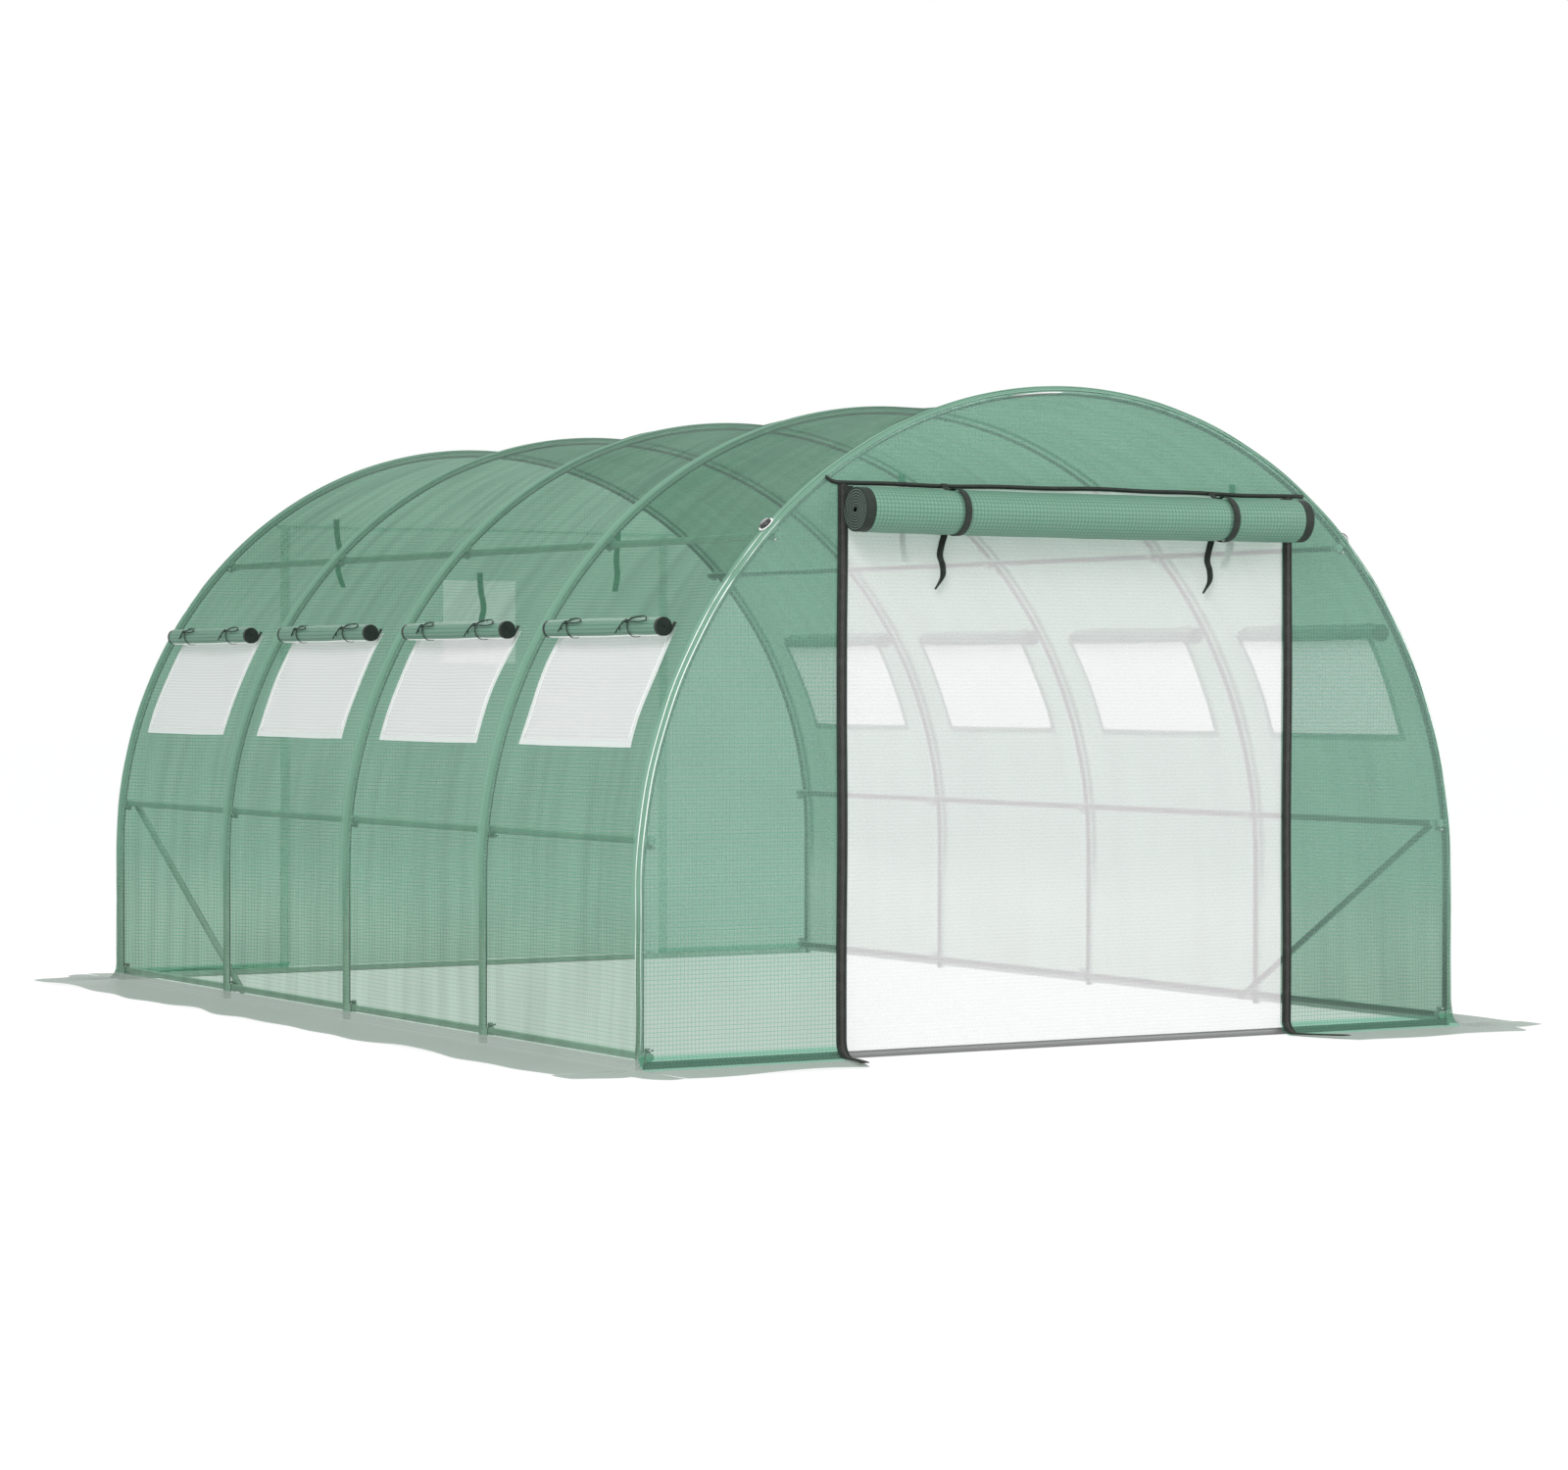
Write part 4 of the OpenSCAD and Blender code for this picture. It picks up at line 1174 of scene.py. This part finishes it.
def clamp_bolts():
    """Bolt with a hexagon head and a wing nut through the ear of every clamp."""
    build = Build()
    sill_lo, sill_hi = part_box("front_sill")
    rail_d = sill_hi.z - sill_lo.z
    rail_r = HOOP_R - (HOOP_D / 2 + rail_d / 2 + CLAMP_T + 2 * CLAMP_FIT)
    reach = rail_d / 2 + CLAMP_FIT + CLAMP_T + CLAMP_EAR / 2
    spots = []
    for angle in (rail_angle("right_mid_rail"), rail_angle("right_upper_rail")):
        c, s = math.cos(angle), math.sin(angle)
        spots.append((rail_r * c + reach * s, LEG_H + rail_r * s - reach * c))
    ground_lo, ground_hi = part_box("right_ground_rail")
    spots.append((rail_r, (ground_lo.z + ground_hi.z) / 2 + reach))
    for x, z in spots:
        for y in HOOP_YS:
            for side in (-1, 1):
                centre = Vector((side * x, y, z))
                inside = 1 if y < 0 else -1
                for profile, start, way, sides in BOLT_PARTS:
                    seat = centre + Vector((0, way * inside * start, 0))
                    build.revolve(profile, seat, (0, way * inside, 0), (1, 0, 0), sides)
                for wing in (-1, 1):
                    tip = [(side * x + wing * a, y - inside * b, z + c) for a, b, c in WING]
                    build.tube(smooth(tip, len(WING_RADII)), WING_RADII, 8)
    piece = build.piece("clamp_bolts", ZINC_BOLT)


def steel_frame():
    """Galvanised finish on every tube and clamp of the frame, with painted shade on the sides that face into
    the tunnel on all but the front sill.
    """
    rails = [f"{word}_{rail}_rail" for rail in ("ground", "mid", "upper") for _, word in SIDES]
    others = ("front_sill", "rear_sill", "corner_braces", "rail_clamps", "foot_clamps")
    for name in [*HOOP_NODES, *rails, *others]:
        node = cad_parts[name]
        node.data.materials.clear()
        node.data.materials.append(FRAME_FINISH.get(name, STEEL_WITH_PAINTED_SHADE))


# Stage
def white_for_eye(g):
    """1 for rays that show the background: from the camera, in gloss and through clear things."""
    rays = g.add("LightPath").outputs
    total = rays["Is Camera Ray"]
    for word in ("Is Glossy Ray", "Is Transmission Ray"):
        total = g.math("MAXIMUM", total, rays[word])
    return total


def stage():
    """White studio: a world that lights the part and a floor that shows its soft shadows."""
    g = Graph("studio", "worlds")
    seen = g.add("Background", {"Color": (1, 1, 1)}).outputs[0]
    light = g.add("Background", {"Color": SKY_COLOUR, "Strength": SKY_STRENGTH}).outputs[0]
    bpy.context.scene.world = g.done(g.blend(white_for_eye(g), light, seen), "OutputWorld")

    g = Graph("studio_floor")
    pale = g.bsdf("Diffuse", {"Color": (0.9, 0.9, 0.9)})
    glow = g.add("Emission", {"Color": (1, 1, 1), "Strength": FLOOR_GLOW}).outputs[0]
    share = g.math("MULTIPLY", white_for_eye(g), FLOOR_GLOW_SHARE)
    mesh = bpy.data.meshes.new("studio_floor")
    corners = [(-1, -1), (1, -1), (1, 1), (-1, 1)]
    mesh.from_pydata([(FLOOR_HALF * x, FLOOR_HALF * y, 0) for x, y in corners], [], [(0, 1, 2, 3)])
    mesh.materials.append(g.done(g.blend(share, pale, glow)))
    floor = bpy.data.objects.new("studio_floor", mesh)
    bpy.context.scene.collection.objects.link(floor)
    floor.location.z = FLOOR_Z


def lamp(name, place, target, size, power):
    """Round area lamp that shines from its place to the target."""
    data = bpy.data.lights.new(name, "AREA")
    data.shape = "DISK"
    data.size = size
    data.energy = power
    lamp_object = bpy.data.objects.new(name, data)
    lamp_object.location = place
    aim = Vector(target) - Vector(place)
    lamp_object.rotation_euler = aim.to_track_quat("-Z", "Y").to_euler()
    bpy.context.scene.collection.objects.link(lamp_object)


def camera():
    """Camera from the matched place, yaw, pitch and roll."""
    data = bpy.data.cameras.new("camera")
    data.sensor_fit = "HORIZONTAL"
    data.sensor_width = SENSOR_W
    data.lens = CAMERA_FOCAL_PX / FRAME_W_PX * SENSOR_W
    data.clip_end = CLIP_END
    view = bpy.data.objects.new("camera", data)
    level = math.cos(CAMERA_PITCH)
    ahead = Vector((math.sin(CAMERA_YAW) * level, math.cos(CAMERA_YAW) * level, math.sin(CAMERA_PITCH)))
    right = Vector((math.cos(CAMERA_YAW), -math.sin(CAMERA_YAW), 0))
    up = right.cross(ahead)
    c, s = math.cos(CAMERA_ROLL), math.sin(CAMERA_ROLL)
    right, up = c * right + s * up, -s * right + c * up
    turn = Matrix((right, up, -ahead)).transposed().to_4x4()
    view.matrix_world = Matrix.Translation(CAMERA_AT) @ turn
    bpy.context.scene.collection.objects.link(view)
    bpy.context.scene.camera = view


camera()
stage()
lamp("key", (-7.0, -8.0, 7.5), (0, 0, 0.9), size=5.0, power=680)
lamp("fill", (8.0, -7.0, 5.0), (0, 0, 0.9), size=6.0, power=380)
lamp("back", (3.0, 9.0, 7.0), (0, 0, 1.0), size=6.0, power=330)

steel_frame()
tunnel_cover()
gable("front_gable", -1, ("front_gable_left", "front_gable_right", "front_gable_top", "gable_skirts"))
gable("rear_gable", 1, ("rear_gable_left", "rear_gable_right", "rear_gable_top", "gable_skirts"))
seam_beads()
rear_door()
flat_screen("door_screen_sheet", "door_screen", 0.004, DOOR_MESH)
flat_screen("rear_window_mesh", "rear_window_screen", -0.001, REAR_MESH)
window_screens()
window_trims()
door_roll()
door_straps()
window_rolls()
window_ties()
door_bindings("front_door_header", -1, "front_door_bindings", DARK_TAPE, True)
door_bindings("rear_door_header", 1, "rear_door_bindings", HEM_FILM, False)
inner_ties()
rail_caps()
clamp_bolts()

bpy.context.scene.view_settings.view_transform = "Standard"
bpy.context.scene.cycles.transparent_max_bounces = 32
